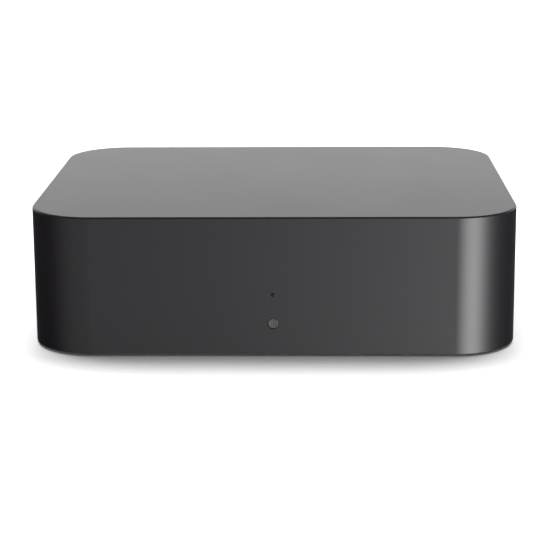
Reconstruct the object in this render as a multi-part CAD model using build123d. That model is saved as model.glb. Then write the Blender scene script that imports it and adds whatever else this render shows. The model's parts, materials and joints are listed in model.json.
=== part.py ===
from build123d import *
from math import sqrt
from typing import NamedTuple
import os

# A network music streamer: a low box with rounded corners, kept as the pieces it comes apart into.
# Millimetres. Seen from the front, +X is right, +Y is the back and +Z is up.
# The origin is under the middle of the whole object, sockets included, where its feet stand.

# One overrun serves every cut
OVERRUN = 1.0

# Rounds that are true cylinders show or fit. Those that repeat out of sight have few sides.
SCREW_SIDES = 6
BOSS_SIDES = 12
FOOT_SIDES = 20
LEAD_SIDES = 5

# Body
BODY_WIDTH = 250.0
BODY_DEPTH = 200.0
BODY_HEIGHT = 71.0
CORNER_RADIUS = 33.0
SOCKET_REACH = 8.5

# Shell, moulded in one piece
TOP_EDGE_RADIUS = 0.9
SIDE_WALL = 2.6
TOP_WALL = 2.8
RIM_LIP = 1.3
RIB_THICKNESS = 1.4
RIB_DEPTH = 3.0
RIB_COUNT = 2
POST_RADIUS = 4.0
POST_TO_WALL = 8.5
GUSSET_DROP = 26.0
EAR_WIDTH = 11.0
EAR_DEPTH = 8.0
EAR_HEIGHT = 12.0

# Base plate
BASE_THICKNESS = 2.4
BASE_CLEARANCE = 0.3
CUP_RADIUS = 5.4
CUP_HEIGHT = 4.0
STANDOFF_RADIUS = 3.2
STANDOFF_HEIGHT = 6.0
VENT_WIDTH = 5.0
VENT_LENGTH = 24.0
VENT_PITCH = 12.0
VENT_ROWS = 2
VENT_ROW_PITCH = 28.0
VENT_MARGIN = 15.0

# Feet
FOOT_RADIUS = 8.0
FOOT_PROUD = 1.5
FOOT_SINK = 1.2
FOOT_CLEARANCE = 0.2
FOOT_INSET = 37.0
FOOT_EDGE = 0.5

# Screws: one size for the case and the panel, a smaller one for the boards
CASE_SHANK_RADIUS = 1.45
CASE_HEAD_RADIUS = 2.9
CASE_HEAD_HEIGHT = 1.6
CASE_SCREW_LENGTH = 10.0
BOARD_SHANK_RADIUS = 1.2
BOARD_HEAD_RADIUS = 2.4
BOARD_HEAD_HEIGHT = 1.4
BOARD_SCREW_LENGTH = 6.0
PILOT_CLEARANCE = 0.05
PILOT_SPARE = 2.0
HOLE_CLEARANCE = 0.3

# Connection panel in the back wall
PANEL_MARGIN = 4.0
PANEL_DROP = 9.7
PANEL_CORNER = 3.0
PANEL_CLEARANCE = 0.25
FLANGE_WIDTH = 3.0
FLANGE_THICKNESS = 1.6
TAB_WIDTH = 12.0
TAB_CLEARANCE = 0.2
TAB_INSET = 26.0
PANEL_SCREW_INSET = 7.0
PANEL_VENT_HEIGHT = 9.0
PANEL_VENT_WIDTH = 4.0
PANEL_VENT_PITCH = 9.5
CUT_CLEARANCE = 0.3

# Circuit boards
BOARD_THICKNESS = 1.6
BOARD_CLEARANCE = 2.0
BOARD_TO_PANEL = 0.8
MAIN_BOARD_DEPTH = 112.0
POWER_BOARD_WIDTH = 62.0
SCREW_INSET = 5.0
REAR_SCREW_INSET = 27.0
SHEET_THICKNESS = 0.4
SHEET_MARGIN = 1.5

# Sockets in a row along the main board's back edge
ROW_MARGIN = 3.0
ETHERNET_WIDTH = 16.0
ETHERNET_HEIGHT = 13.4
ETHERNET_DEPTH = 21.0
ETHERNET_MOUTH_WIDTH = 11.8
ETHERNET_MOUTH_HEIGHT = 7.0
ETHERNET_MOUTH_DEPTH = 14.0
ETHERNET_LATCH_WIDTH = 6.2
ETHERNET_LATCH_HEIGHT = 2.2
ETHERNET_FLOOR = 1.6
CONTACT_COUNT = 8
CONTACT_PITCH = 1.02
CONTACT_THICKNESS = 0.4
CONTACT_DROP = 2.0
CONTACT_LENGTH = 8.0
USB_WIDTH = 14.4
USB_HEIGHT = 7.1
USB_DEPTH = 14.0
USB_SHELL = 0.9
USB_LIFT = 1.0
USB_TONGUE_THICKNESS = 1.9
USB_TONGUE_GAP = 0.7
USB_TONGUE_LENGTH = 9.0
OPTICAL_WIDTH = 10.4
OPTICAL_HEIGHT = 12.4
OPTICAL_DEPTH = 15.0
OPTICAL_MOUTH_WIDTH = 7.4
OPTICAL_MOUTH_HEIGHT = 6.8
OPTICAL_MOUTH_DEPTH = 11.0
OPTICAL_MOUTH_LIFT = 2.4
SHUTTER_THICKNESS = 0.8
SHUTTER_CLEARANCE = 0.35
SHUTTER_SET_BACK = 5.0
SHUTTER_PIN_RADIUS = 0.5
SHUTTER_PIN_CLEARANCE = 0.05
SHUTTER_PIN_BITE = 0.9
PHONO_WIDTH = 10.4
PHONO_DEPTH = 12.0
PHONO_PITCH = 14.0
PHONO_LIFT = 6.6
PHONO_TOP_MARGIN = 6.0
COLLAR_RADIUS = 5.0
BARREL_RADIUS = 4.15
BARREL_WALL = 0.5
CORE_BORE_RADIUS = 1.65
CORE_BORE_DEPTH = 6.5
CORE_SINK = 0.5
JACK_WIDTH = 8.0
JACK_HEIGHT = 8.4
JACK_DEPTH = 14.0
JACK_LIFT = 4.4
JACK_NOSE_RADIUS = 3.2
JACK_BORE_RADIUS = 1.8
JACK_BORE_DEPTH = 14.0

# Mains inlet with its two pins, snapped into the panel
INLET_INSET = 19.0
INLET_DROP = 23.6
INLET_WIDTH = 19.6
INLET_HEIGHT = 12.0
INLET_DEPTH = 20.0
INLET_FLANGE_WIDTH = 3.0
INLET_FLANGE_THICKNESS = 1.6
INLET_EDGE = 1.5
INLET_MOUTH_WIDTH = 15.6
INLET_MOUTH_HEIGHT = 8.4
INLET_MOUTH_DEPTH = 14.0
PIN_RADIUS = 1.2
PIN_SPACING = 8.6
PIN_REACH = 10.0
PIN_TAIL = 5.0

# Main board's parts
PROCESSOR_WIDTH = 19.0
PROCESSOR_HEIGHT = 1.6
PAD_HEIGHT = 0.5
HEATSINK_WIDTH = 30.0
HEATSINK_BASE = 2.4
FIN_HEIGHT = 9.0
FIN_THICKNESS = 1.2
FIN_COUNT = 7
MEMORY_WIDTH = 9.0
MEMORY_LENGTH = 12.5
CHIP_HEIGHT = 1.1
CONVERTER_WIDTH = 8.0
AUDIO_CAN_RADIUS = 4.0
AUDIO_CAN_HEIGHT = 11.5
AUDIO_CAN_PITCH = 10.5
AUDIO_CAN_COUNT = 3
WIFI_LENGTH = 26.0
WIFI_WIDTH = 18.0
WIFI_THICKNESS = 1.0
WIFI_CAN_LENGTH = 17.0
WIFI_CAN_HEIGHT = 2.2
WIFI_CAN_MARGIN = 1.5

# Aerials and their leads
AERIAL_LENGTH = 38.0
AERIAL_HEIGHT = 9.0
AERIAL_THICKNESS = 0.6
AERIAL_LIFT = 36.0
AERIAL_LEAD_RADIUS = 0.65
AERIAL_BEND = 8.0

# Power board's parts
CORE_LENGTH = 30.0
CORE_DEPTH = 10.0
CORE_HEIGHT = 22.0
CORE_LEG = 5.5
BOBBIN_MARGIN = 5.0
BOBBIN_GAP = 0.3
CHOKE_RADIUS = 9.0
CHOKE_BORE = 4.0
CHOKE_HEIGHT = 9.0
CHOKE_CHAMFER = 1.5
BULK_RADIUS = 9.0
BULK_HEIGHT = 30.0
OUTPUT_CAN_RADIUS = 5.0
OUTPUT_CAN_HEIGHT = 18.0
OUTPUT_CAN_PITCH = 12.0
OUTPUT_CAN_COUNT = 2
CAN_CHAMFER = 0.7
FILTER_LENGTH = 18.0
FILTER_WIDTH = 8.0
FILTER_HEIGHT = 14.0
FILTER_CHAMFER = 0.8
COOLER_LENGTH = 40.0
COOLER_WEB = 2.5
COOLER_HEIGHT = 25.0
COOLER_FIN = 6.0
COOLER_FIN_COUNT = 6
TRANSISTOR_WIDTH = 10.0
TRANSISTOR_HEIGHT = 16.0
TRANSISTOR_THICKNESS = 4.4
TRANSISTOR_LEGS = 3.5
FUSE_LENGTH = 22.0
FUSE_WIDTH = 7.0
FUSE_HEIGHT = 8.0

# Leads between the boards
PLUG_WIDTH = 10.0
PLUG_DEPTH = 8.0
PLUG_HEIGHT = 9.0
PLUG_MARGIN = 2.0
PLUG_TO_SCREW = 3.0
MAINS_LEAD_WIDTH = 2.4
LEAD_ROOM = 10.0
LEAD_TURN_SHARE = 0.5
HARNESS_WIDTH = 8.0
HARNESS_THICKNESS = 1.3
HARNESS_RISE = 12.0
HARNESS_BEND = 4.0
RIBBON_WIDTH = 12.0
RIBBON_THICKNESS = 0.3
RIBBON_BEND = 5.0
RIBBON_SOCKET_WIDTH = 15.0
RIBBON_SOCKET_DEPTH = 5.0
RIBBON_SOCKET_HEIGHT = 2.6

# Button, switch and indicator behind the front wall
BUTTON_HEIGHT = 16.1
BUTTON_RADIUS = 2.5
BUTTON_CLEARANCE = 0.3
BUTTON_SINK = 0.15
BUTTON_EDGE = 0.25
BUTTON_FLANGE_RADIUS = 4.0
BUTTON_FLANGE_THICKNESS = 1.0
BUTTON_STEM_RADIUS = 1.6
BUTTON_REST_GAP = 0.1
BUTTON_TRAVEL = 0.5
HOLE_EDGE = 0.25
GUIDE_WALL = 1.2
GUIDE_LENGTH = 2.4
WINDOW_HEIGHT = 31.1
WINDOW_RADIUS = 0.95
WINDOW_CLEARANCE = 0.05
WINDOW_SINK = 0.15
HORN_RADIUS = 3.4
HORN_GAP = 0.3
FRONT_BOSS_LENGTH = 8.0
FRONT_BOSS_RADIUS = 2.8
FRONT_BOSS_REACH = 13.0
FRONT_BOARD_MARGIN = 4.0
FRONT_BOARD_BELOW = 8.0
FRONT_BOARD_ABOVE = 6.0
SWITCH_WIDTH = 6.2
SWITCH_HEIGHT = 3.4
PLUNGER_RADIUS = 1.75
PLUNGER_CLEARANCE = 0.05
PLUNGER_BURIED = 1.4
PLUNGER_ROOM = 0.4
LED_WIDTH = 2.0
LED_LENGTH = 3.0
LED_HEIGHT = 1.2
SENSOR_WIDTH = 2.4
SENSOR_LENGTH = 3.2
SENSOR_HEIGHT = 1.8
SENSOR_GAP = 0.4

# Room beside the power board and between the boards, as shares of the body's width
SIDE_ROOM_SHARE = 0.044
BOARD_GAP_SHARE = 0.048

# Places on the boards, as shares of their width and depth from the left front corner
PROCESSOR_SHARES = (0.36, 0.42)
MEMORY_SHARES = ((0.66, 0.36), (0.66, 0.52))
CONVERTER_SHARES = (0.34, 0.68)
AUDIO_CAN_SHARES = (0.09, 0.42)
WIFI_SHARES = (0.78, 0.12)
MAIN_PLUG_SHARE = 0.08
TRANSFORMER_SHARES = (0.5, 0.42)
CHOKE_SHARES = (0.22, 0.8)
FILTER_SHARES = (0.5, 0.68)
BULK_SHARES = (0.24, 0.15)
COOLER_SHARES = (0.16, 0.42)
OUTPUT_CAN_SHARES = (0.56, 0.12)
POWER_PLUG_SHARE = 0.9
FUSE_SHARES = (0.88, 0.84)

# Heights, from the shelf up
body_bottom = FOOT_PROUD
body_top = body_bottom + BODY_HEIGHT
plate_top = body_bottom + BASE_THICKNESS
cup_top = plate_top + CUP_HEIGHT
case_head_z = cup_top - BASE_THICKNESS
ceiling = body_top - TOP_WALL
board_bottom = plate_top + STANDOFF_HEIGHT
board_top = board_bottom + BOARD_THICKNESS
panel_top = ceiling - PANEL_DROP
button_z = body_bottom + BUTTON_HEIGHT
window_z = body_bottom + WINDOW_HEIGHT
inlet_z = panel_top - INLET_DROP

# Depths, from front to back
overall_depth = BODY_DEPTH + SOCKET_REACH
front_y = -overall_depth / 2
rear_y = front_y + BODY_DEPTH
mid_y = (front_y + rear_y) / 2
front_inner = front_y + SIDE_WALL
rear_inner = rear_y - SIDE_WALL
panel_inner = rear_inner - FLANGE_THICKNESS
front_board_y = front_inner + FRONT_BOSS_LENGTH
front_board_back = front_board_y + BOARD_THICKNESS

# Widths, from the middle out
half_width = BODY_WIDTH / 2
side_inner = half_width - SIDE_WALL
panel_half = half_width - CORNER_RADIUS - PANEL_MARGIN
corner_reach = (CORNER_RADIUS - SIDE_WALL - POST_TO_WALL) / sqrt(2)
post_x = half_width - CORNER_RADIUS + corner_reach
post_front = front_y + CORNER_RADIUS - corner_reach
post_rear = rear_y - CORNER_RADIUS + corner_reach
inlet_x = -panel_half + INLET_INSET


class Board(NamedTuple):
    """A level circuit board's edges and its two faces."""

    left: float
    right: float
    front: float
    rear: float

    def at(self, shares):
        """The point at these shares of the board's width and depth."""
        across, along = shares
        x = self.left + across * (self.right - self.left)
        y = self.front + along * (self.rear - self.front)
        return x, y


power_left = -side_inner + SIDE_ROOM_SHARE * BODY_WIDTH
power_rear = panel_inner - INLET_DEPTH - LEAD_ROOM
power_front = post_front + CUP_RADIUS + BOARD_CLEARANCE
power = Board(power_left, power_left + POWER_BOARD_WIDTH, power_front, power_rear)
main_rear = panel_inner - BOARD_TO_PANEL
main = Board(
    power.right + BOARD_GAP_SHARE * BODY_WIDTH,
    post_x - CUP_RADIUS - BOARD_CLEARANCE,
    main_rear - MAIN_BOARD_DEPTH,
    main_rear,
)


def block(x, y, z):
    """A box between pairs of limits along X, Y and Z."""
    middle = Pos((x[0] + x[1]) / 2, (y[0] + y[1]) / 2, (z[0] + z[1]) / 2)
    return middle * Box(x[1] - x[0], y[1] - y[0], z[1] - z[0])


def around(centre, width):
    """The two limits of a width about its centre."""
    return centre - width / 2, centre + width / 2


def rod(radius, length, sides):
    """A rod standing on the origin: a true cylinder, or with a count of flat sides."""
    section = RegularPolygon(radius, sides) if sides else Circle(radius)
    return extrude(section, length)


def upright(x, y, z, radius, sides=0):
    """A rod standing between two heights."""
    return Pos(x, y, z[0]) * rod(radius, z[1] - z[0], sides)


def level(x, y, z, radius, sides=0):
    """A rod lying between two depths, from front to back."""
    return Pos(x, y[0], z) * Rot(-90, 0, 0) * rod(radius, y[1] - y[0], sides)


def save(name, *solids):
    """Writes one sub-part, which may be several separate solids."""
    shape = solids[0] if len(solids) == 1 else Compound(children=list(solids))
    shape.label = name
    export_step(shape, f"parts/{name}.step")


def plan(inset, z):
    """The body's outline, drawn in all round, between two heights."""
    outline = RectangleRounded(
        BODY_WIDTH - 2 * inset, BODY_DEPTH - 2 * inset, CORNER_RADIUS - inset
    )
    return Pos(0, mid_y, z[0]) * extrude(outline, z[1] - z[0])


def panel_block(grow, y, low):
    """The connection panel's outline, grown by a margin, between two depths."""
    high = panel_top + grow
    sheet = Rectangle(2 * (panel_half + grow), high - low)
    sheet = fillet(sheet.vertices().group_by(Axis.Y)[-1], PANEL_CORNER + grow)
    return Pos(0, y[1], (low + high) / 2) * Rot(90, 0, 0) * extrude(sheet, y[1] - y[0])


def screw(shank_radius, head_radius, head_height, length, head_sides):
    """A screw standing on its tip, with the underside of its head at zero."""
    shank = upright(0, 0, (-length, 0), shank_radius, SCREW_SIDES)
    return shank + upright(0, 0, (0, head_height), head_radius, head_sides)


def case_screw():
    """The larger screw, for the case and the panel."""
    return screw(CASE_SHANK_RADIUS, CASE_HEAD_RADIUS, CASE_HEAD_HEIGHT, CASE_SCREW_LENGTH, BOSS_SIDES)


def board_screw():
    """The smaller screw, for the boards."""
    return screw(BOARD_SHANK_RADIUS, BOARD_HEAD_RADIUS, BOARD_HEAD_HEIGHT, BOARD_SCREW_LENGTH, SCREW_SIDES)


def post_places():
    """Where the shell's screw posts stand, one in each corner."""
    return [(x, y) for x in (-post_x, post_x) for y in (post_front, post_rear)]


def foot_places():
    """Where the four feet stand."""
    reach = half_width - FOOT_INSET
    return [(x, y) for x in (-reach, reach) for y in (front_y + FOOT_INSET, rear_y - FOOT_INSET)]


def board_screw_places(board, rear_inset):
    """The four screws of a level board, the rear pair behind whatever stands along its back edge."""
    columns = (board.left + SCREW_INSET, board.right - SCREW_INSET)
    rows = (board.front + SCREW_INSET, board.rear - rear_inset)
    return [(x, y) for x in columns for y in rows]


def front_boss_places():
    """The two bosses that carry the upright board behind the front wall."""
    return [(x, (button_z + window_z) / 2) for x in (-FRONT_BOSS_REACH, FRONT_BOSS_REACH)]


def panel_screw_places():
    """The two screws in the panel's upper corners."""
    reach = panel_half - PANEL_SCREW_INSET
    return [(x, panel_top - PANEL_SCREW_INSET) for x in (-reach, reach)]


# Case

def make_shell_ribs():
    """Crossed stiffening ribs under the top, and the gussets that tie the corner posts to the walls."""
    ribs = []
    rib_z = (ceiling - RIB_DEPTH, ceiling)
    for index in range(1, RIB_COUNT + 1):
        x = -side_inner + index * 2 * side_inner / (RIB_COUNT + 1)
        ribs.append(block(around(x, RIB_THICKNESS), (front_inner, rear_inner), rib_z))
    ribs.append(block((-side_inner, side_inner), around(mid_y, RIB_THICKNESS), rib_z))
    gusset_z = (ceiling - GUSSET_DROP, ceiling)
    for side in (-1, 1):
        x = (side * post_x, side * side_inner)
        for y, wall in ((post_front, front_inner), (post_rear, rear_inner)):
            ribs.append(block((min(x), max(x)), around(y, RIB_THICKNESS), gusset_z))
            ribs.append(block(around(side * post_x, RIB_THICKNESS), (min(y, wall), max(y, wall)), gusset_z))
    return ribs


def make_top_shell():
    """The moulded cover: top and four walls in one piece, open below and at the connection panel."""
    shell = plan(0, (body_bottom, body_top))
    shell = fillet(shell.faces().sort_by(Axis.Z)[-1].edges(), TOP_EDGE_RADIUS)
    shell -= plan(SIDE_WALL, (body_bottom - OVERRUN, ceiling))
    shell -= plan(RIM_LIP, (body_bottom - OVERRUN, plate_top))
    inside = plan(SIDE_WALL / 2, (body_bottom, body_top - TOP_WALL / 2))
    shell += [inside & rib for rib in make_shell_ribs()]
    shell += [upright(x, y, (cup_top, ceiling), POST_RADIUS, BOSS_SIDES) for x, y in post_places()]
    ear_z = (panel_top - PANEL_SCREW_INSET - EAR_HEIGHT / 2, ceiling)
    ear_y = (panel_inner - EAR_DEPTH, panel_inner)
    shell += [block(around(x, EAR_WIDTH), ear_y, ear_z) for x, z in panel_screw_places()]
    boss_y = (front_inner, front_board_y)
    shell += [level(x, boss_y, z, FRONT_BOSS_RADIUS, BOSS_SIDES) for x, z in front_boss_places()]
    guide_bore = BUTTON_FLANGE_RADIUS + 2 * BUTTON_CLEARANCE
    guide_y = (front_inner, front_inner + GUIDE_LENGTH)
    guide = level(0, guide_y, button_z, guide_bore + GUIDE_WALL, BOSS_SIDES)
    shell += guide - level(0, guide_y, button_z, guide_bore, BOSS_SIDES)
    shell -= panel_block(PANEL_CLEARANCE, (rear_inner, rear_y + OVERRUN), body_bottom - OVERRUN)
    pilot = CASE_SHANK_RADIUS + PILOT_CLEARANCE
    pilot_z = (cup_top - OVERRUN, case_head_z + CASE_SCREW_LENGTH + PILOT_SPARE)
    shell -= [upright(x, y, pilot_z, pilot, SCREW_SIDES) for x, y in post_places()]
    pilot_y = (panel_inner - EAR_DEPTH - OVERRUN, panel_inner + OVERRUN)
    shell -= [level(x, pilot_y, z, pilot, SCREW_SIDES) for x, z in panel_screw_places()]
    board_pilot = BOARD_SHANK_RADIUS + PILOT_CLEARANCE
    board_pilot_y = (front_board_y - BOARD_SCREW_LENGTH, front_board_y + OVERRUN)
    shell -= [level(x, board_pilot_y, z, board_pilot, SCREW_SIDES) for x, z in front_boss_places()]
    through = (front_y - OVERRUN, front_inner + OVERRUN)
    shell -= level(0, through, button_z, BUTTON_RADIUS + BUTTON_CLEARANCE)
    shell -= level(0, through, window_z, WINDOW_RADIUS + WINDOW_CLEARANCE)
    mouth = shell.edges().filter_by(GeomType.CIRCLE).group_by(Axis.Y)[0].group_by(Axis.Z)[0]
    return chamfer(mouth, HOLE_EDGE)


def make_base_plate():
    """The tray under everything: a lapped edge, board standoffs, screw cups, foot recesses and vents."""
    inset = RIM_LIP + BASE_CLEARANCE
    plate = plan(inset, (body_bottom, plate_top))
    plate += [upright(x, y, (plate_top, cup_top), CUP_RADIUS, BOSS_SIDES) for x, y in post_places()]
    boards = board_screw_places(main, REAR_SCREW_INSET) + board_screw_places(power, SCREW_INSET)
    plate += [upright(x, y, (plate_top, board_bottom), STANDOFF_RADIUS, SCREW_SIDES) for x, y in boards]
    board_pilot_z = (board_top - BOARD_SCREW_LENGTH - BASE_CLEARANCE, board_bottom + OVERRUN)
    board_pilot = BOARD_SHANK_RADIUS + PILOT_CLEARANCE
    plate -= [upright(x, y, board_pilot_z, board_pilot, SCREW_SIDES) for x, y in boards]
    counterbore_z = (body_bottom - OVERRUN, case_head_z)
    through_z = (body_bottom - OVERRUN, cup_top + OVERRUN)
    for x, y in post_places():
        plate -= upright(x, y, counterbore_z, CASE_HEAD_RADIUS + HOLE_CLEARANCE, BOSS_SIDES)
        plate -= upright(x, y, through_z, CASE_SHANK_RADIUS + HOLE_CLEARANCE, SCREW_SIDES)
    recess_z = (body_bottom - OVERRUN, body_bottom + FOOT_SINK)
    plate -= [upright(x, y, recess_z, FOOT_RADIUS + FOOT_CLEARANCE, FOOT_SIDES) for x, y in foot_places()]
    plate -= [block(*limits) for limits in base_vent_limits()]
    tab_z = (body_bottom - OVERRUN, plate_top + OVERRUN)
    plate -= [block(*tab_limits(side, TAB_CLEARANCE), tab_z) for side in (-1, 1)]
    return plate


def base_vent_limits():
    """The limits of each vent slot under the main board."""
    room = main.right - main.left - 2 * VENT_MARGIN
    count = int(room / VENT_PITCH) + 1
    middle_x = (main.left + main.right) / 2
    first = middle_x - (count - 1) * VENT_PITCH / 2
    z = (body_bottom - OVERRUN, plate_top + OVERRUN)
    limits = []
    for row in range(VENT_ROWS):
        y = main.front + (row + 1) * VENT_ROW_PITCH
        for index in range(count):
            x = first + index * VENT_PITCH
            limits.append((around(x, VENT_WIDTH), around(y, VENT_LENGTH), z))
    return limits


def tab_limits(side, clearance):
    """The X and Y limits of one of the tabs that hold the panel's foot in the base plate."""
    x = side * (panel_half - TAB_INSET)
    tab_y = (panel_inner - clearance, rear_inner + clearance)
    return around(x, TAB_WIDTH + 2 * clearance), tab_y


def make_foot(x, y):
    """A rubber disc pressed into its recess, with a softened lower edge."""
    foot = upright(x, y, (0, body_bottom + FOOT_SINK), FOOT_RADIUS, FOOT_SIDES)
    return chamfer(foot.faces().sort_by(Axis.Z)[0].edges(), FOOT_EDGE)


def make_case_screws():
    """The screws that come up through the base plate's cups into the shell's posts."""
    return [Pos(x, y, case_head_z) * Rot(180, 0, 0) * case_screw() for x, y in post_places()]


def make_panel_screws():
    """The screws through the panel's upper corners into the shell's ears."""
    turned = Rot(-90, 0, 0) * case_screw()
    return [Pos(x, panel_inner + FLANGE_THICKNESS, z) * turned for x, z in panel_screw_places()]


# Connection panel

def socket_row():
    """The middle of each socket along the main board's back edge, from the right end to the left."""
    widths = {
        "ethernet": ETHERNET_WIDTH,
        "usb": USB_WIDTH,
        "optical": OPTICAL_WIDTH,
        "digital": PHONO_WIDTH,
        "line": PHONO_WIDTH,
        "trigger": JACK_WIDTH,
        "infrared": JACK_WIDTH,
    }
    right = panel_half - ROW_MARGIN
    left = main.left + ROW_MARGIN
    gap = (right - left - sum(widths.values())) / (len(widths) - 1)
    places = {}
    for name, width in widths.items():
        places[name] = right - width / 2
        right -= width + gap
    return places


row = socket_row()
phono_heights = (board_top + PHONO_LIFT, board_top + PHONO_LIFT + PHONO_PITCH)
jack_z = board_top + JACK_LIFT
optical_mouth_z = (board_top + OPTICAL_MOUTH_LIFT, board_top + OPTICAL_MOUTH_LIFT + OPTICAL_MOUTH_HEIGHT)
pin_y = rear_y - SHUTTER_SET_BACK
pin_z = optical_mouth_z[1] + SHUTTER_CLEARANCE / 2 + SHUTTER_THICKNESS / 2


def panel_vent_limits():
    """The limits of each vent slot along the panel's upper part."""
    reach = panel_half - 2 * PANEL_SCREW_INSET
    count = int(2 * reach / PANEL_VENT_PITCH)
    first = -(count - 1) * PANEL_VENT_PITCH / 2
    y = (panel_inner - OVERRUN, rear_y + OVERRUN)
    z = around(panel_top - PANEL_SCREW_INSET, PANEL_VENT_HEIGHT)
    middles = [first + index * PANEL_VENT_PITCH for index in range(count)]
    return [(around(x, PANEL_VENT_WIDTH), y, z) for x in middles]


def make_rear_panel():
    """The panel with every cut-out, flanged behind the wall and lapped over the base plate's edge."""
    panel = panel_block(0, (rear_inner, rear_y), plate_top)
    panel += block((-panel_half, panel_half), (rear_y - RIM_LIP, rear_y), (body_bottom, plate_top))
    panel += panel_block(FLANGE_WIDTH, (panel_inner, rear_inner), plate_top)
    tab_z = (body_bottom + BASE_CLEARANCE, plate_top)
    panel += [block(*tab_limits(side, 0), tab_z) for side in (-1, 1)]
    through = (panel_inner - OVERRUN, rear_y + OVERRUN)
    sockets = {
        "ethernet": (ETHERNET_WIDTH, 0, ETHERNET_HEIGHT),
        "usb": (USB_WIDTH, USB_LIFT, USB_HEIGHT),
        "optical": (OPTICAL_WIDTH, 0, OPTICAL_HEIGHT),
    }
    for name, (width, lift, height) in sockets.items():
        x = around(row[name], width + 2 * CUT_CLEARANCE)
        z = (board_top + lift - CUT_CLEARANCE, board_top + lift + height + CUT_CLEARANCE)
        panel -= block(x, through, z)
    for name in ("digital", "line"):
        hole = COLLAR_RADIUS + CUT_CLEARANCE
        panel -= [level(row[name], through, z, hole, FOOT_SIDES) for z in phono_heights]
    for name in ("trigger", "infrared"):
        panel -= level(row[name], through, jack_z, JACK_NOSE_RADIUS + CUT_CLEARANCE, FOOT_SIDES)
    x = around(inlet_x, INLET_WIDTH + 2 * CUT_CLEARANCE)
    panel -= block(x, through, around(inlet_z, INLET_HEIGHT + 2 * CUT_CLEARANCE))
    panel -= [block(*limits) for limits in panel_vent_limits()]
    head_y = (panel_inner + FLANGE_THICKNESS, rear_y + OVERRUN)
    for x, z in panel_screw_places():
        panel -= level(x, through, z, CASE_SHANK_RADIUS + HOLE_CLEARANCE, SCREW_SIDES)
        panel -= level(x, head_y, z, CASE_HEAD_RADIUS + HOLE_CLEARANCE, BOSS_SIDES)
    return panel


def make_ethernet_socket():
    """A network socket: a stepped mouth, with the plug's latch below."""
    x = row["ethernet"]
    y = (rear_y - ETHERNET_DEPTH, rear_y)
    socket = block(around(x, ETHERNET_WIDTH), y, (board_top, board_top + ETHERNET_HEIGHT))
    mouth_y = (rear_y - ETHERNET_MOUTH_DEPTH, rear_y + OVERRUN)
    latch_z = (board_top + ETHERNET_FLOOR, board_top + ETHERNET_FLOOR + ETHERNET_LATCH_HEIGHT)
    mouth_z = (latch_z[1], latch_z[1] + ETHERNET_MOUTH_HEIGHT)
    socket -= block(around(x, ETHERNET_MOUTH_WIDTH), mouth_y, mouth_z)
    socket -= block(around(x, ETHERNET_LATCH_WIDTH), mouth_y, (latch_z[0], latch_z[1] + OVERRUN))
    return socket


def make_ethernet_contacts():
    """Eight sprung wires that slope down from the roof of the network socket."""
    roof = board_top + ETHERNET_FLOOR + ETHERNET_LATCH_HEIGHT + ETHERNET_MOUTH_HEIGHT
    back = rear_y - ETHERNET_MOUTH_DEPTH
    tip = back + CONTACT_LENGTH
    outline = Polyline(
        (back, roof - CONTACT_DROP),
        (tip, roof - CONTACT_THICKNESS),
        (tip, roof),
        (back, roof - CONTACT_DROP + CONTACT_THICKNESS),
        close=True,
    )
    wires = []
    for index in range(CONTACT_COUNT):
        x = row["ethernet"] + (index - (CONTACT_COUNT - 1) / 2) * CONTACT_PITCH
        strip = Plane.YZ * make_face(outline)
        wires.append(Pos(x, 0, 0) * extrude(strip, CONTACT_THICKNESS / 2, both=True))
    return wires


def make_usb_socket():
    """A folded metal shell, open at the back of the streamer."""
    x = row["usb"]
    z = (board_top, board_top + USB_LIFT + USB_HEIGHT)
    legs_y = (rear_y - USB_DEPTH, panel_inner)
    legs = block(around(x, USB_WIDTH - 2 * USB_SHELL), legs_y, (z[0], z[0] + USB_LIFT))
    shell = block(around(x, USB_WIDTH), (rear_y - USB_DEPTH, rear_y), (z[0] + USB_LIFT, z[1]))
    inside_y = (rear_y - USB_DEPTH + USB_SHELL, rear_y + OVERRUN)
    inside_z = (z[0] + USB_LIFT + USB_SHELL, z[1] - USB_SHELL)
    shell -= block(around(x, USB_WIDTH - 2 * USB_SHELL), inside_y, inside_z)
    return shell + legs


def make_usb_tongue():
    """The insulating tongue that carries the contacts, fixed to the shell's back."""
    x = row["usb"]
    root = rear_y - USB_DEPTH + USB_SHELL
    high = board_top + USB_LIFT + USB_HEIGHT - USB_SHELL - USB_TONGUE_GAP
    width = USB_WIDTH - 2 * USB_SHELL - 2 * USB_TONGUE_GAP
    return block(around(x, width), (root, root + USB_TONGUE_LENGTH), (high - USB_TONGUE_THICKNESS, high))


def make_optical_output():
    """The optical socket's housing, with room in its roof for the open shutter and bores for its pin."""
    x = row["optical"]
    y = (rear_y - OPTICAL_DEPTH, rear_y)
    housing = block(around(x, OPTICAL_WIDTH), y, (board_top, board_top + OPTICAL_HEIGHT))
    mouth_y = (rear_y - OPTICAL_MOUTH_DEPTH, rear_y + OVERRUN)
    housing -= block(around(x, OPTICAL_MOUTH_WIDTH), mouth_y, optical_mouth_z)
    swing = pin_z - optical_mouth_z[0]
    roof_y = (pin_y - swing - SHUTTER_CLEARANCE, pin_y + SHUTTER_THICKNESS / 2 + SHUTTER_CLEARANCE)
    roof_z = (optical_mouth_z[0], pin_z + SHUTTER_THICKNESS / 2 + SHUTTER_CLEARANCE)
    housing -= block(around(x, OPTICAL_MOUTH_WIDTH), roof_y, roof_z)
    bore = SHUTTER_PIN_RADIUS + SHUTTER_PIN_CLEARANCE
    return housing - across(x, shutter_pin_length() + 2 * SHUTTER_PIN_CLEARANCE, bore)


def shutter_pin_length():
    """The shutter's pin reaches into both side walls of the optical socket."""
    return OPTICAL_MOUTH_WIDTH + 2 * SHUTTER_PIN_BITE


def across(x, length, radius):
    """A cylinder along the shutter's axis, from side to side."""
    return Pos(x, pin_y, pin_z) * Rot(0, 90, 0) * Cylinder(radius, length)


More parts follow.
